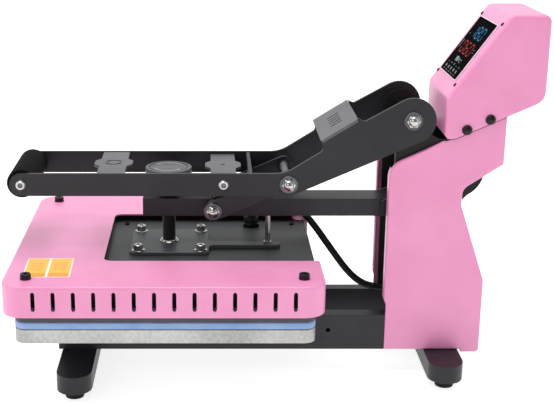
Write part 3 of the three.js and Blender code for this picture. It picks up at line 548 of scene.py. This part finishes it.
def socket_bolt(centre, axis, radius, height, washer=0.0, socket=0.62):
    """Cylindrical head with a rolled edge and a hexagon socket, on a flat washer where one is asked for."""
    under = 1.5 * MM if washer else 0.0
    hexagon = radius * socket * 0.8
    edge = radius * 0.12
    parts = [turned([
        (0, under), (radius, under), (radius, under + height - edge), (radius - edge, under + height),
        (hexagon * 1.2, under + height), (hexagon, under + height - edge, 6),
        (hexagon, under + height * 0.25, 6), (0, under + height * 0.18),
    ], centre, axis, 48)]
    if washer:
        ring = [(0, 0), (washer, 0), (washer, under - 0.3 * MM), (washer - 0.4 * MM, under), (0, under)]
        parts.append(turned(ring, centre, axis))
    return parts


def both(make):
    """Parts of the near side, -1, then of the far side, +1."""
    return [part for side in (-1, 1) for part in make(side)]


# ---------------------------------------------------------------- settings

def length(name, description, default):
    return bpy.props.FloatProperty(name=name, description=description, unit="LENGTH", default=default)


def colour(name, description, code):
    return bpy.props.FloatVectorProperty(
        name=name, description=description, subtype="COLOR", size=3, min=0, max=1, default=linear(code))


class HeatPressSettings(bpy.types.PropertyGroup):
    """Sizes and colours that a user would change."""

    cover_dark: colour("Cover shade", "Darker tone of the powder coat on the covers", "#e38bb7")
    cover_light: colour("Cover colour", "Lighter tone of the powder coat on the covers", "#e994bf")
    plate_edge: length("Plate edge", "Broken edge of the cut steel plates", 0.8 * MM)
    tube_edge: length("Tube edge", "Rounded corners of the steel tubes", 2.0 * MM)
    fold_edge: length("Fold edge", "Softened edge of the folded covers", 0.45 * MM)
    bolt_head: length("Bolt head", "Radius of the bracket bolts' heads", 6.2 * MM)
    cover_screw: length("Cover screw", "Radius of the black screws on the platen cover", 6.8 * MM)
    cable_radius: length("Cable radius", "Radius of the heater cable", 5 * MM)
    sun_power: bpy.props.FloatProperty(
        name="Top light", description="Power of the large soft light above", unit="POWER", default=42.0)


# ---------------------------------------------------------------- operators

class HEATPRESS_OT_stage(bpy.types.Operator):
    """Camera, pale floor and soft studio light."""
    bl_idname = "heatpress.stage"
    bl_label = "Stage"

    def execute(self, context):
        settings = context.scene.heat_press
        camera_data = bpy.data.cameras.new("camera")
        camera_data.lens = 74.9
        camera_data.sensor_width = 36
        camera_data.shift_x = 0.1247
        camera = bpy.data.objects.new("camera", camera_data)
        camera.location = (-0.0846, -1.5328, 0.68466)
        camera.rotation_euler = (math.radians(73.48), 0, 0)
        context.scene.collection.objects.link(camera)
        context.scene.camera = camera

        floor_material, tree, shader, where = blank("matt_paper_floor", Roughness=0.9)
        tone = noise(tree, where, 400, 2)
        tint(tree, shader, tone, "#cfcfcf", "#d4d4d4")
        shader.inputs["Emission Color"].default_value = (1, 1, 1, 1)
        shader.inputs["Emission Strength"].default_value = 0.8
        FINISH["floor"] = floor_material
        floor = piece("floor", [plate(
            rounded_box_outline(-9, -9, 9, 9, 1), [(0, -0.01), (0, -0.0005)], flat_place(),
        )], "floor", None)

        world = bpy.data.worlds.new("studio")
        world.use_nodes = True
        # The room is dimmer in front of the press, towards -Y, so bright metal has something dark to mirror.
        sky = world.node_tree
        direction = put(sky, "ShaderNodeSeparateXYZ", {0: put(sky, "ShaderNodeTexCoord").outputs["Generated"]})
        strength = put(sky, "ShaderNodeMapRange", {
            "Value": direction.outputs["Y"], "From Min": -0.9, "From Max": 0.3, "To Min": 0.24, "To Max": 0.85,
        })
        sky.nodes["Background"].inputs[0].default_value = (1, 1, 1, 1)
        sky.links.new(strength.outputs["Result"], sky.nodes["Background"].inputs[1])
        context.scene.world = world
        context.scene.view_settings.view_transform = "Standard"

        def softbox(name, place, aim, size, power):
            data = bpy.data.lights.new(name, "AREA")
            data.shape = "RECTANGLE"
            data.size, data.size_y = size
            data.energy = power
            made = bpy.data.objects.new(name, data)
            made.location = place
            direction = np.array(aim) - np.array(place)
            made.rotation_euler = Vector(direction).to_track_quat("-Z", "Y").to_euler()
            context.scene.collection.objects.link(made)

        softbox("top_softbox", (-0.3, 0.1, 2.4), (0, 0, 0.2), (2.2, 1.8), settings.sun_power)
        softbox("front_fill", (-1.0, -2.4, 1.3), (0, 0, 0.25), (1.4, 1.0), 7.0)
        softbox("left_fill", (-2.4, -0.5, 1.0), (0, 0, 0.25), (1.2, 1.4), 6.5)
        softbox("right_fill", (2.3, -0.9, 1.2), (0.1, 0, 0.3), (1.0, 1.0), 3.5)
        return {"FINISHED"}


def rounding_group():
    """Node group that joins a node's loose triangles and shades it smooth up to a corner."""
    tree = bpy.data.node_groups.new("join_and_smooth", "GeometryNodeTree")
    tree.interface.new_socket("Geometry", in_out="INPUT", socket_type="NodeSocketGeometry")
    tree.interface.new_socket("Geometry", in_out="OUTPUT", socket_type="NodeSocketGeometry")
    entry = put(tree, "NodeGroupInput")
    joined = put(tree, "GeometryNodeMergeByDistance", {"Geometry": entry.outputs[0], "Distance": 1e-5})
    smooth = put(tree, "GeometryNodeSetShadeSmooth", {"Geometry": joined.outputs[0], "Shade Smooth": True})
    angle = put(tree, "GeometryNodeInputMeshEdgeAngle").outputs[0]
    corner = put(tree, "FunctionNodeCompare", {"A": angle, "B": CORNER}, operation="GREATER_THAN")
    sharp = put(tree, "GeometryNodeSetShadeSmooth", {
        "Geometry": smooth.outputs[0], "Selection": corner.outputs[0], "Shade Smooth": False,
    }, domain="EDGE")
    put(tree, "NodeGroupOutput", {0: sharp.outputs[0]})
    return tree


def dress(node, finish, edge, tree):
    """Gives a frame node its finish, joins its triangles, merges flat ones and breaks its edges."""
    made = NODES[node]
    made.data.materials.clear()
    made.data.materials.append(FINISH[finish])
    made.modifiers.new("join_and_smooth", "NODES").node_group = tree
    flat = made.modifiers.new("flat_faces", "DECIMATE")
    flat.decimate_type = "DISSOLVE"
    flat.angle_limit = math.radians(0.5)
    if edge:
        broken = made.modifiers.new("broken_edge", "BEVEL")
        broken.width = edge
        broken.segments = 2
        broken.limit_method = "ANGLE"
        broken.angle_limit = CORNER
        broken.harden_normals = True
    even = made.modifiers.new("even_shading", "WEIGHTED_NORMAL")
    even.keep_sharp = True


SLOT_FINISH = {
    "pink_paint": "pink", "dark_grey_paint": "grey", "black_paint": "black", "coated_steel": "deck",
    "coated_aluminium": "heater", "cast_aluminium": "cast", "silicone": "silicone", "bright_steel": "steel",
    "magnet_iron": "iron", "mineral_board": "board", "black_rubber": "rubber", "black_plastic": "nylon",
    "display_plastic": "acrylic", "circuit_board": "circuit",
}
# Crossbars and bridge take the lighter grey as painted light from above; the bracket takes the painted-lit copy of
# the deck paint.
NODE_FINISH = {
    "screw_bracket": "bracket", "crossbar_front": "knob_grey_and_lit_bars", "crossbar_rear": "knob_grey_and_lit_bars", "lever_bridge": "knob_grey_and_lit_bars",
}


class HEATPRESS_OT_frame(bpy.types.Operator):
    """Finishes and broken edges of the pieces that come with the frame."""
    bl_idname = "heatpress.frame"
    bl_label = "Frame finishes"

    def execute(self, context):
        settings = context.scene.heat_press
        tree = rounding_group()
        for row in frame["record"]["subparts"]:
            node, slot = row["node"], row["material_slot"]
            tube = node.startswith(("base_rail", "front_leg", "rear_leg", "arm_beam"))
            folded = slot == "pink_paint"
            edge = settings.tube_edge if tube else settings.fold_edge if folded else settings.plate_edge
            dress(node, NODE_FINISH.get(node, SLOT_FINISH[slot]), edge, tree)
        return {"FINISHED"}


CABLE_ROUTE = np.array([
    [-22, 82, 181], [-22, 82, 190], [-20.5, 82, 199], [-15, 81.5, 207.5], [-5, 81, 213.5],
    [8, 80, 215.5], [22, 78, 213.5], [36, 74, 207.5], [50, 68.5, 197.5], [62.5, 62, 184.5],
    [74, 57, 170.5], [85.5, 52, 155], [98.5, 47, 137.5], [113, 41.5, 119], [127, 36.5, 105.5],
    [141, 33, 97.5], [156, 31, 94], [172, 30, 93], [190, 30, 93], [212, 30, 93],
]) * MM
# The cable's highest point, where the cable is cut into two pieces.
CREST = 5


class HEATPRESS_OT_cable(bpy.types.Operator):
    """Heater cable from the gland on the platen, over its crest, and down to the clamp in the tower."""
    bl_idname = "heatpress.cable"
    bl_label = "Heater cable"

    def execute(self, context):
        radius = context.scene.heat_press.cable_radius
        steps = 8
        route = smooth_route(CABLE_ROUTE, (len(CABLE_ROUTE) - 1) * steps + 1)
        rings = swept(route, circle(radius, 20))[0].reshape(len(route), -1, 3)
        cut = CREST * steps
        for name, part, a, b, start, end in (
            ("heater_cable_upper", rings[:cut + 1], "platen", "arm", 2, CREST),
            ("heater_cable_sheath", rings[cut:], "base", "arm", -3, CREST + 3),
        ):
            made = piece(name, [closed_grid(part)], "sheath", None, sharp=60)
            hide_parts("heater_cable")
            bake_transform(made)
        return {"FINISHED"}


class HEATPRESS_OT_pad(bpy.types.Operator):
    """Foamed silicone pad on the lower platen."""
    bl_idname = "heatpress.pad"
    bl_label = "Silicone pad"

    def execute(self, context):
        a, b = low("silicone_pad"), high("silicone_pad")
        outline = rounded_box_outline(a[0], a[1], b[0], b[1], 15 * MM, 12)
        made = piece("foamed_silicone_pad", [plate(outline, soft_levels(a[2], b[2], 2.4 * MM, 6), flat_place())],
                     "silicone", "base", ["silicone_pad"], sharp=60)
        return {"FINISHED"}


class HEATPRESS_OT_feet(bpy.types.Operator):
    """Four moulded rubber feet on their studs."""
    bl_idname = "heatpress.feet"
    bl_label = "Rubber feet"

    def execute(self, context):
        for end in ("front", "rear"):
            for side in ("near", "far"):
                node = f"foot_{end}_{side}"
                x, y, _ = middle(node)
                top = high(node)[2]
                profile = in_mm([
                    (0, 0.6), (6, 0.6), (7, 0), (11, 0), (12.1, 0.5), (12.5, 1.6), (12.5, 4), (12.1, 4.6),
                    (12.5, 5.2), (12.5, 7), (11.4, 8.6), (10, 9), (4, 9),
                ]) + [(4 * MM, top), (0, top)]
                piece(f"rubber_{node}", [turned(profile, (x, y, 0), segments=48)],
                      "rubber", "base", [node])
        return {"FINISHED"}


class HEATPRESS_OT_grip(bpy.types.Operator):
    """Foam grip roller, the bolts at its ends, and the bolts in the lever's sides."""
    bl_idname = "heatpress.grip"
    bl_label = "Grip"

    def execute(self, context):
        half = high("grip_foam")[1]
        r = (high("grip_foam")[0] - low("grip_foam")[0]) / 2
        bore = (high("grip_tube")[0] - low("grip_tube")[0]) / 2 + 0.3 * MM
        t = np.linspace(0, TURN / 4, 7)
        end = [(r - 2.5 * MM * (1 - math.cos(a)), half - 2.5 * MM * (1 - math.sin(a))) for a in t]
        profile = [(bore, -half), *[(a, -h) for a, h in end[::-1]], *end, (bore, half)]
        sleeve = turned(profile, (GRIP_X, 0, GRIP_Z), (0, 1, 0), 64, wrap_rows=True)
        piece("foam_grip", [sleeve], "foam", "lever", ["grip_foam"])
        stop_x = middle("crossbar_rear")[0]
        for name, x in (("grip_end", GRIP_X), ("lever_side", stop_x)):
            for part, finish, make in (
                ("bolts", "chrome", lambda centre, axis: socket_bolt(centre, axis, 6 * MM, 3.6 * MM, 0, 0.62)),
                ("washers", "washer", lambda centre, axis: washer_ring(centre, axis, 7.8 * MM)),
            ):
                piece(f"{name}_{part}", both(lambda side: make(
                    (x, side * LEVER_FACE, GRIP_Z), (0, side, 0),
                )), finish, "lever")
        return {"FINISHED"}


class HEATPRESS_OT_pivots(bpy.types.Operator):
    """Washers and domed nuts on the toggle's pivots."""
    bl_idname = "heatpress.pivots"
    bl_label = "Pivot nuts"

    def execute(self, context):
        def nuts(x, z, face):
            return both(lambda side: domed_nut((x, side * face, z), (0, side, 0), 7.8 * MM, 6.9 * MM))

        def washers(name, x, z, face, body):
            piece(name, both(lambda side: washer_ring((x, side * face, z), (0, side, 0), 12.4 * MM)),
                  "washer", body)

        gap = 0.3 * MM
        for name, joint, node, body in (
            ("handle_pivot_nuts", "handle_pivot", "handle_pivot_shaft", "base"),
            ("link_pivot_nuts", "link_pivot", "link_pivot_shaft", "lever"),
        ):
            x, z = pivot(joint)
            reach = LEVER_FACE + gap
            shaft = turned([(0, -reach), (8 * MM, -reach), (8 * MM, reach), (0, reach)], (x, 0, z), (0, 1, 0), 48)
            extra = []
            if node == "link_pivot_shaft":
                inner, outer = LINK_FACE + gap, low("lever_plate_far")[1] - gap
                extra = both(lambda side: [turned([
                    (8 * MM, inner), (11 * MM, inner), (11 * MM, outer), (8 * MM, outer),
                ], (x, 0, z), (0, side, 0), 48)])
                end = LINK_FACE - 5.3 * MM
                spacer = in_mm([(0, 0), (8.4, 0), (9, 0.6)], -end) + in_mm([(9, -0.6), (8.4, 0), (0, 0)], end)
                piece("link_pivot_sleeve", [turned(spacer, (x, 0, z), (0, 1, 0), 48)],
                      "sleeve", body)
            piece(name, [shaft, *extra, *nuts(x, z, reach)], "chrome", body, [node])
            washers(name.replace("nuts", "washers"), x, z, reach, body)
        x, _, z = middle("link_bush")
        piece("beam_pivot_nuts", nuts(x, z, LINK_FACE), "chrome", "links")
        washers("beam_pivot_washers", x, z, LINK_FACE, "links")
        return {"FINISHED"}


class HEATPRESS_OT_knob(bpy.types.Operator):
    """Pressure knob with its groove and turning arrows, and the threaded rod under it."""
    bl_idname = "heatpress.knob"
    bl_label = "Pressure knob"

    def execute(self, context):
        base, top = low("pressure_knob")[2], high("pressure_knob")[2]
        r = (high("pressure_knob")[0] - low("pressure_knob")[0]) / 2
        under = top - 13 * MM
        profile = [
            *in_mm([(0, -0.5), (9.4, -0.5)], under), *in_mm([(9.4, 0), (13, 0), (14, 1)], base),
            *in_mm([(14, -1), (15, 0)], under), *in_mm([(-2, 0), (-0.6, 0.6), (0, 2)], under, r),
            *in_mm([
                (0, -1.6), (-0.5, -0.5), (-1.6, 0), (-4.5, 0), (-5, -0.5), (-5, -1.4), (-6.4, -1.4), (-6.4, -0.6),
                (-7, -0.2),
            ], top, r), (0, top - 0.2 * MM),
        ]
        piece("pressure_knob_disc", [turned(profile, (PLATEN_X, 0, 0), segments=72)],
              "knob_grey_and_lit_bars", "pressure_screw", ["pressure_knob"])
        marks = []
        ring = 20.5 * MM
        ink = [(0, -0.35 * MM), (0, -0.05 * MM)]
        head = [(0, -2.4 * MM), (4.5 * MM, 0), (0, 2.4 * MM)]
        for turn in (0, 180):
            band = arc_band(ring, 0.8 * MM, turn + 25, turn + 130)
            marks.append(plate(band, ink, flat_place((PLATEN_X, 0, top))))
            tip = math.radians(turn + 130)
            centre = (PLATEN_X + ring * math.cos(tip), ring * math.sin(tip), top)
            marks.append(plate(head, ink, flat_place(centre, along=(-math.sin(tip), math.cos(tip), 0))))
        piece("knob_turning_arrows", marks, "mark", "pressure_screw")

        a, b = low("screw_rod")[2], high("screw_thread")[2]
        pitch, rows_per_turn = 2 * MM, 6
        rows = int((b - a) / pitch * rows_per_turn)
        h = np.linspace(a + MM, b - MM, rows)
        # Crest radius less the thread's depth, which comes and goes as a cosine.
        wave = 9 * MM - 0.45 * MM * (0.5 + 0.5 * np.cos(TURN * np.arange(rows) / rows_per_turn))
        rod = [(0, a), (8 * MM, a), *zip(wave, h), (8 * MM, b), (0, b)]
        piece("threaded_screw_rod", [turned(rod, (PLATEN_X, 0, 0), segments=32)],
              "black", "pressure_screw", ["screw_rod", "screw_thread"])
        piece("screw_foot_washer", [turned(in_mm([
            (9.3, 0), (13, 0), (13, 1.4), (12.4, 2), (11.4, 2), (11, 3.6), (9.3, 3.6), (9.3, 0),
        ], BRACKET_TOP), (PLATEN_X, 0, 0))], "chrome", "platen")
        return {"FINISHED"}


class HEATPRESS_OT_bracket(bpy.types.Operator):
    """Cap bolts of the screw's bracket, the guide pin and the screws in the deck."""
    bl_idname = "heatpress.bracket"
    bl_label = "Bracket bolts"

    def execute(self, context):
        r = context.scene.heat_press.bolt_head
        bolts = []
        for dx in (-41, 44):
            for y in (-43, 43):
                place = (PLATEN_X + dx * MM, y * MM, BRACKET_TOP)
                bolts += socket_bolt(place, (0, 0, 1), r, 7.5 * MM, 9 * MM)
        piece("bracket_cap_bolts", bolts, "chrome", "platen")
        a, b = low("guide_pin"), high("guide_pin")
        x, y = (a[:2] + b[:2]) / 2
        piece("guide_pin_turned", [turned([
            *in_mm([(0, 0), (5.4, 0, 6), (5.4, 3, 6), (4.6, 3.4), (3.5, 3.4)], a[2]),
            *in_mm([(3.5, -0.8), (2.7, 0), (0, 0)], b[2]),
        ], (x, y, 0), segments=36)], "steel", "platen", ["guide_pin"])
        deck = []
        edge = low("platen_deck")
        for x in (edge[0] + 24 * MM, high("platen_deck")[0] - 20 * MM):
            for y in (-90, 90):
                deck += socket_bolt((x, y * MM, DECK_TOP), (0, 0, 1), 3.6 * MM, 2.4 * MM)
        piece("deck_screws", deck, "nylon", "platen")
        return {"FINISHED"}


class HEATPRESS_OT_cover_screws(bpy.types.Operator):
    """Black screws that hold the platen cover to its posts."""
    bl_idname = "heatpress.cover_screws"
    bl_label = "Cover screws"

    def execute(self, context):
        r = context.scene.heat_press.cover_screw
        parts = []
        for dx in (-174.9, 174.9):
            for y in (-171.5, 171.5):
                place = (PLATEN_X + dx * MM, y * MM, COVER_TOP)
                parts += socket_bolt(place, (0, 0, 1), r, 5.6 * MM, 7.2 * MM, 0.5)
        piece("cover_screws", parts, "nylon", "platen")
        return {"FINISHED"}


class HEATPRESS_OT_label(bpy.types.Operator):
    """Blank two-panel label on the platen cover."""
    bl_idname = "heatpress.label"
    bl_label = "Label"

    def execute(self, context):
        lean = math.radians(1.5)
        place = flat_place((-290.5 * MM, -130.5 * MM, COVER_TOP), along=(math.cos(lean), math.sin(lean), 0))

        def patch(x0, y0, x1, y1, bottom, top, r):
            outline = rounded_box_outline(x0 * MM, y0 * MM, x1 * MM, y1 * MM, r * MM, 4)
            return plate(outline, [(0, bottom * MM), (0, top * MM)], place)

        piece("label_backing", [patch(-30, -36, 30, 36, 0.0, 0.12, 2)], "label_white", "platen")
        panels = [patch(x, -34.5, x + 26.9, 34.5, 0.12, 0.2, 1.5) for x in (-28.5, 1.6)]
        piece("label_panels", panels, "label_yellow", "platen")
        bands = []
        for x in (-28.5, 1.6):
            bands.append(patch(x, -34.5, x + 26.9, -20, 0.2, 0.26, 1.5))
            for i in range(5):
                y = 15 - 6 * i
                bands.append(patch(x + 5, y, x + 22 - 3 * (i % 2), y + 2.5, 0.2, 0.26, 0.6))
        piece("label_bands", bands, "label_orange", "platen")
        return {"FINISHED"}


SEGMENTS = {"0": "abcdef", "1": "bc", "6": "afgedc", "8": "abcdefg"}


def digit(letter, x, y, width, height, stroke):
    """Outlines of a seven-segment digit: six-cornered bars, with the lower left corner at x, y."""
    half, mid = stroke / 2, height / 2
    bars = {
        "a": ((0, height), (width, height)), "g": ((0, mid), (width, mid)), "d": ((0, 0), (width, 0)),
        "f": ((0, mid), (0, height)), "b": ((width, mid), (width, height)),
        "e": ((0, 0), (0, mid)), "c": ((width, 0), (width, mid)),
    }
    made = []
    for key in SEGMENTS[letter]:
        a, b = (np.array(p) for p in bars[key])
        along = (b - a) / np.linalg.norm(b - a)
        across = np.array([-along[1], along[0]])
        a, b = a + along * half * 0.6, b - along * half * 0.6
        made.append(np.array([
            a, a + along * half - across * half, b - along * half - across * half,
            b, b - along * half + across * half, a + along * half + across * half,
        ]) + (x, y))
    return made


class HEATPRESS_OT_display(bpy.types.Operator):
    """Lit digits and bars on the display window, its pale rim that paints the highlight along the window's edge,
    and the panel's screws.
    """
    bl_idname = "heatpress.display"
    bl_label = "Display"

    def execute(self, context):
        a, b = low("display_panel"), high("display_panel")
        slope = math.radians(DISPLAY_SLOPE)
        out = np.array([-math.sin(slope), 0, math.cos(slope)])
        # The window's lower front edge: the lowest corner of its slab, moved out by its thickness.
        thick = 1.8 * MM
        origin = np.array([a[0], 0, a[2]]) + out * thick + np.array([thick * math.sin(slope), 0, 0])
        place = flat_place(origin, out, (0, -1, 0))
        length = (b[2] - a[2] - thick * math.cos(slope)) / math.sin(slope)
        half = b[1]

        def lit(name, finish, outlines, rise=0.12):
            surfaces = [plate(outline, [(0, 0.01 * MM), (0, rise * MM)], place) for outline in outlines]
            piece(name, surfaces, finish, "base")

        def row(text, y):
            pitch, width, tall = 19.5 * MM, 12.5 * MM, 17 * MM
            start = -pitch * len(text) / 2 + (pitch - width) / 2
            stroke = 2.1 * MM
            return [bar for i, c in enumerate(text) for bar in digit(c, start + i * pitch, y, width, tall, stroke)]

        def box(x0, y0, x1, y1):
            return np.array([(x0, y0), (x1, y0), (x1, y1), (x0, y1)]) * MM

        lit("display_upper_digits", "blue_lamp", row("180", 58 * MM))
        lit("display_lower_digits", "red_lamp", row("060", 33 * MM))
        icons = [box(-35 + 15 * i, 3, -28 + 15 * i, 3.9) for i in range(5)]
        icons += [box(-34 + 15 * i, 6.5, -29 + 15 * i, 10.5) for i in range(5)]
        icons += [box(-33 + 15 * i, 14, -30 + 15 * i, 15 + i % 3) for i in range(5)]
        icons += [box(-13, 20, -1, 27), box(3, 21, 7, 26), box(9.5, 20, 15, 21.2), box(9.5, 24, 18, 25.2)]
        icons += [box(-39, 37, -37.6, 50), box(-36, 60, -33, 61.2), box(33, 44, 36, 45.2), box(33, 40, 37, 41.2)]
        lit("display_icons", "white_lamp", icons)

        out_by, in_by = 1.0 * MM, 0.1 * MM
        outer = rounded_box_outline(-half - out_by, -out_by, half + out_by, length + out_by, 3.6 * MM)
        inner = rounded_box_outline(-half + in_by, in_by, half - in_by, length - in_by, 3 * MM)
        # Pale rim round the window: a painted highlight on the window's edge.
        highlight_rim = closed_grid(np.stack([
            place(np.concatenate([loop, np.full((len(loop), 1), rise * MM)], 1))
            for loop, rise in ((outer, -2.0), (outer, -0.5), (inner, -0.35), (inner, -2.0))
        ]), wrap_rows=True)
        piece("display_painted_highlight_rim", [highlight_rim], "highlight_rim", "base")

        screws = []
        for s in (-4.5, length / MM + 4.5):
            for y in (-57, 57):
                screws += socket_bolt(place(np.array([y * MM, s * MM, -2.1 * MM])), tuple(out), 2.6 * MM, 1.3 * MM)
        piece("panel_screws", screws, "nylon", "base")
        return {"FINISHED"}


class HEATPRESS_OT_box_screws(bpy.types.Operator):
    """Black domed screws that hold the control box to the tower, and a black strip under its edge that paints the
    shadow line there.
    """
    bl_idname = "heatpress.box_screws"
    bl_label = "Control box screws"

    def execute(self, context):
        face = high("control_box")[1]
        t = np.linspace(0, TURN / 4, 8)
        dome = [(6.2 * MM * math.cos(a), 1.8 * MM + 3.2 * MM * math.sin(a)) for a in t]
        profile = [(0, 0), (6.7 * MM, 0), (6.7 * MM, 1.2 * MM), (6.2 * MM, 1.8 * MM), *dome]
        piece("control_box_screws", both(lambda side: [
            turned(profile, (x * MM, side * face, z * MM), (0, side, 0))
            for x, z in ((252.2, 347.2), (281.8, 361.0))
        ]), "nylon", "base")

        # Black strip of painted shadow between the box and the tower's cover: the box's lower edge, moved down by
        # its width.
        edge = np.array([(224.6, 333.2), (239, 335.9), (303.5, 364.7)]) * MM
        loop = np.concatenate([edge, edge[::-1] - (0, 1.1 * MM)])
        cover_face = high("tower_cover_far")[1]
        piece("control_box_shadow_strip", both(lambda side: [closed_grid(np.stack([
            np.stack([loop[:, 0], np.full(len(loop), side * y), loop[:, 1]], -1)
            for y in (cover_face - 0.2 * MM, face - 0.9 * MM)
        ]))]), "rubber", "base")
        return {"FINISHED"}


class HEATPRESS_OT_gland(bpy.types.Operator):
    """Cable gland: hexagonal base, ribbed sealing nut and tapered sleeve."""
    bl_idname = "heatpress.gland"
    bl_label = "Cable gland"

    def execute(self, context):
        z0, z1 = low("cable_gland")[2], high("cable_gland")[2]
        base = turned(in_mm([(5.4, 0), (11.2, 0, 6), (11.2, 5.5, 6), (10.2, 6.3), (5.4, 6.3)], z0),
                      (GLAND_X, GLAND_Y, 0), segments=48, wrap_rows=True)
        segments = 72
        t = np.arange(segments) * TURN / segments
        ribs = 10.2 * MM + 0.45 * MM * np.cos(18 * t)
        rows = in_mm([(5.4, 6.3, 0), (0, 6.3, 1), (0, 15, 1), (8.4, 17.5, 0)], z0)
        rows += [(6.6 * MM, z1, 0), (5.4 * MM, z1, 0)]
        rings = np.array([
            np.stack([(ribs if ribbed else r) * np.cos(t) + GLAND_X, (ribs if ribbed else r) * np.sin(t) + GLAND_Y,
                      np.full(segments, z)], -1) for r, z, ribbed in rows
        ])
        piece("ribbed_cable_gland", [base, closed_grid(rings, wrap_rows=True)],
              "nylon", "platen", ["cable_gland"])
        return {"FINISHED"}


class HEATPRESS_OT_rear(bpy.types.Operator):
    """Inlet contacts and screws, and the louvres on the tower's back."""
    bl_idname = "heatpress.rear"
    bl_label = "Tower back"

    def execute(self, context):
        face = high("power_inlet")[0]
        y0 = middle("power_inlet")[1]
        z0 = low("power_inlet")[2]
        blades = []
        for dy, z in ((-7, 18), (0, 15), (7, 18)):
            outline = rounded_box_outline((dy - 1) * MM, (z - 2) * MM, (dy + 1) * MM, (z + 2) * MM, 0.4 * MM, 2)
            blades.append(plate(outline, soft_levels(-18.6 * MM, -6 * MM, 0.3 * MM, 2),
                                flat_place((face, y0, z0), (1, 0, 0), (0, 1, 0))))
        piece("inlet_blades", blades, "brass", "base")
        parts = []
        for dy in (-14.5, 14.5):
            for z in (z0 + 6 * MM, high("power_inlet")[2] - 6 * MM):
                parts += socket_bolt((face, y0 + dy * MM, z), (1, 0, 0), 1.9 * MM, 0.7 * MM)
        piece("inlet_screws", parts, "chrome", "base")

        top, foot = np.array([256, 233]) * MM, np.array([287.5, 138]) * MM
        along = np.array([top[0] - foot[0], 0, top[1] - foot[1]])
        along /= np.linalg.norm(along)
        out = np.cross((0, 1, 0), along)
        out = out if out[0] > 0 else -out
        # A louvre is half an ellipsoid: rings shrink by the root of 1 - v squared as they rise by v.
        hoods = []
        u = np.linspace(0, TURN, 33)[:-1]
        v = np.linspace(0, 1, 9)
        shrink = np.sqrt(1 - v ** 2 * 0.999)[:, None]
        width, tall, rise = 27 * MM, 2.6 * MM, 1.9 * MM
        level = v[:, None] * rise * np.ones_like(u)
        for step in range(6):
            centre = np.array([foot[0], 0, foot[1]]) + along * (24 + 9.5 * step) * MM
            hoods.append(closed_grid(
                centre + (shrink * width * np.cos(u))[..., None] * np.array([0, 1, 0])
                + (shrink * tall * np.sin(u))[..., None] * along + level[..., None] * out
            ))
        piece("rear_louvres", hoods, "pink", "base")
        return {"FINISHED"}


class HEATPRESS_OT_strut(bpy.types.Operator):
    """Gas strut's cylinder with its foot eye, and the bright ring on the holding magnet's face."""
    bl_idname = "heatpress.strut"
    bl_label = "Gas strut"

    def execute(self, context):
        x, z = pivot("strut_tilt")
        d = np.array(JOINTS["strut_slide"]["axis"])
        centre = np.array([x, 0, z])
        wall = in_mm([
            (4.5, 22), (4.5, 114), (7, 114), (8, 113), (8, 110), (10.4, 109), (11, 108), (11, 17), (10, 15),
            (5, 14), (5, 9.2), (3, 9.2), (3, 22),
        ])
        lug = in_mm([(5.3, -6), (9, -6), (9.5, -5.4), (9.5, 5.4), (9, 6), (5.3, 6)])
        tube = turned(wall, centre, d, 48, wrap_rows=True)
        eye = turned(lug, centre, (0, 1, 0), wrap_rows=True)
        piece("gas_strut_cylinder", [tube, eye],
              "black", "strut_body", ["strut_cylinder"])
        profile = in_mm([(9, -0.5), (11, -0.5), (11, 0.12), (9, 0.12)], high("holding_magnet")[2])
        ring = turned(profile, (middle("holding_magnet")[0], 0, 0), wrap_rows=True)
        piece("magnet_face_ring", [ring], "chrome", "arm")
        return {"FINISHED"}


OPERATORS = (
    HEATPRESS_OT_stage, HEATPRESS_OT_frame, HEATPRESS_OT_cable, HEATPRESS_OT_pad, HEATPRESS_OT_feet,
    HEATPRESS_OT_grip, HEATPRESS_OT_pivots, HEATPRESS_OT_knob, HEATPRESS_OT_bracket, HEATPRESS_OT_cover_screws,
    HEATPRESS_OT_label, HEATPRESS_OT_display, HEATPRESS_OT_box_screws, HEATPRESS_OT_gland, HEATPRESS_OT_rear,
    HEATPRESS_OT_strut,
)


class HEATPRESS_PT_panel(bpy.types.Panel):
    """Sidebar panel that lists the press's settings and its builders."""
    bl_idname = "HEATPRESS_PT_panel"
    bl_label = "Heat press"
    bl_space_type = "VIEW_3D"
    bl_region_type = "UI"
    bl_category = "Heat press"

    def draw(self, context):
        settings = context.scene.heat_press
        for name in HeatPressSettings.__annotations__:
            self.layout.prop(settings, name)
        for operator in OPERATORS:
            self.layout.operator(operator.bl_idname)


CLASSES = (HeatPressSettings, *OPERATORS, HEATPRESS_PT_panel)


def register():
    for cls in CLASSES:
        bpy.utils.register_class(cls)
    bpy.types.Scene.heat_press = bpy.props.PointerProperty(type=HeatPressSettings)


def unregister():
    del bpy.types.Scene.heat_press
    for cls in reversed(CLASSES):
        bpy.utils.unregister_class(cls)


def main():
    register()
    FINISH.update(make_finishes(bpy.context.scene.heat_press))
    for operator in OPERATORS:
        group, name = operator.bl_idname.split(".")
        getattr(getattr(bpy.ops, group), name)()


if __name__ == "__main__":
    main()
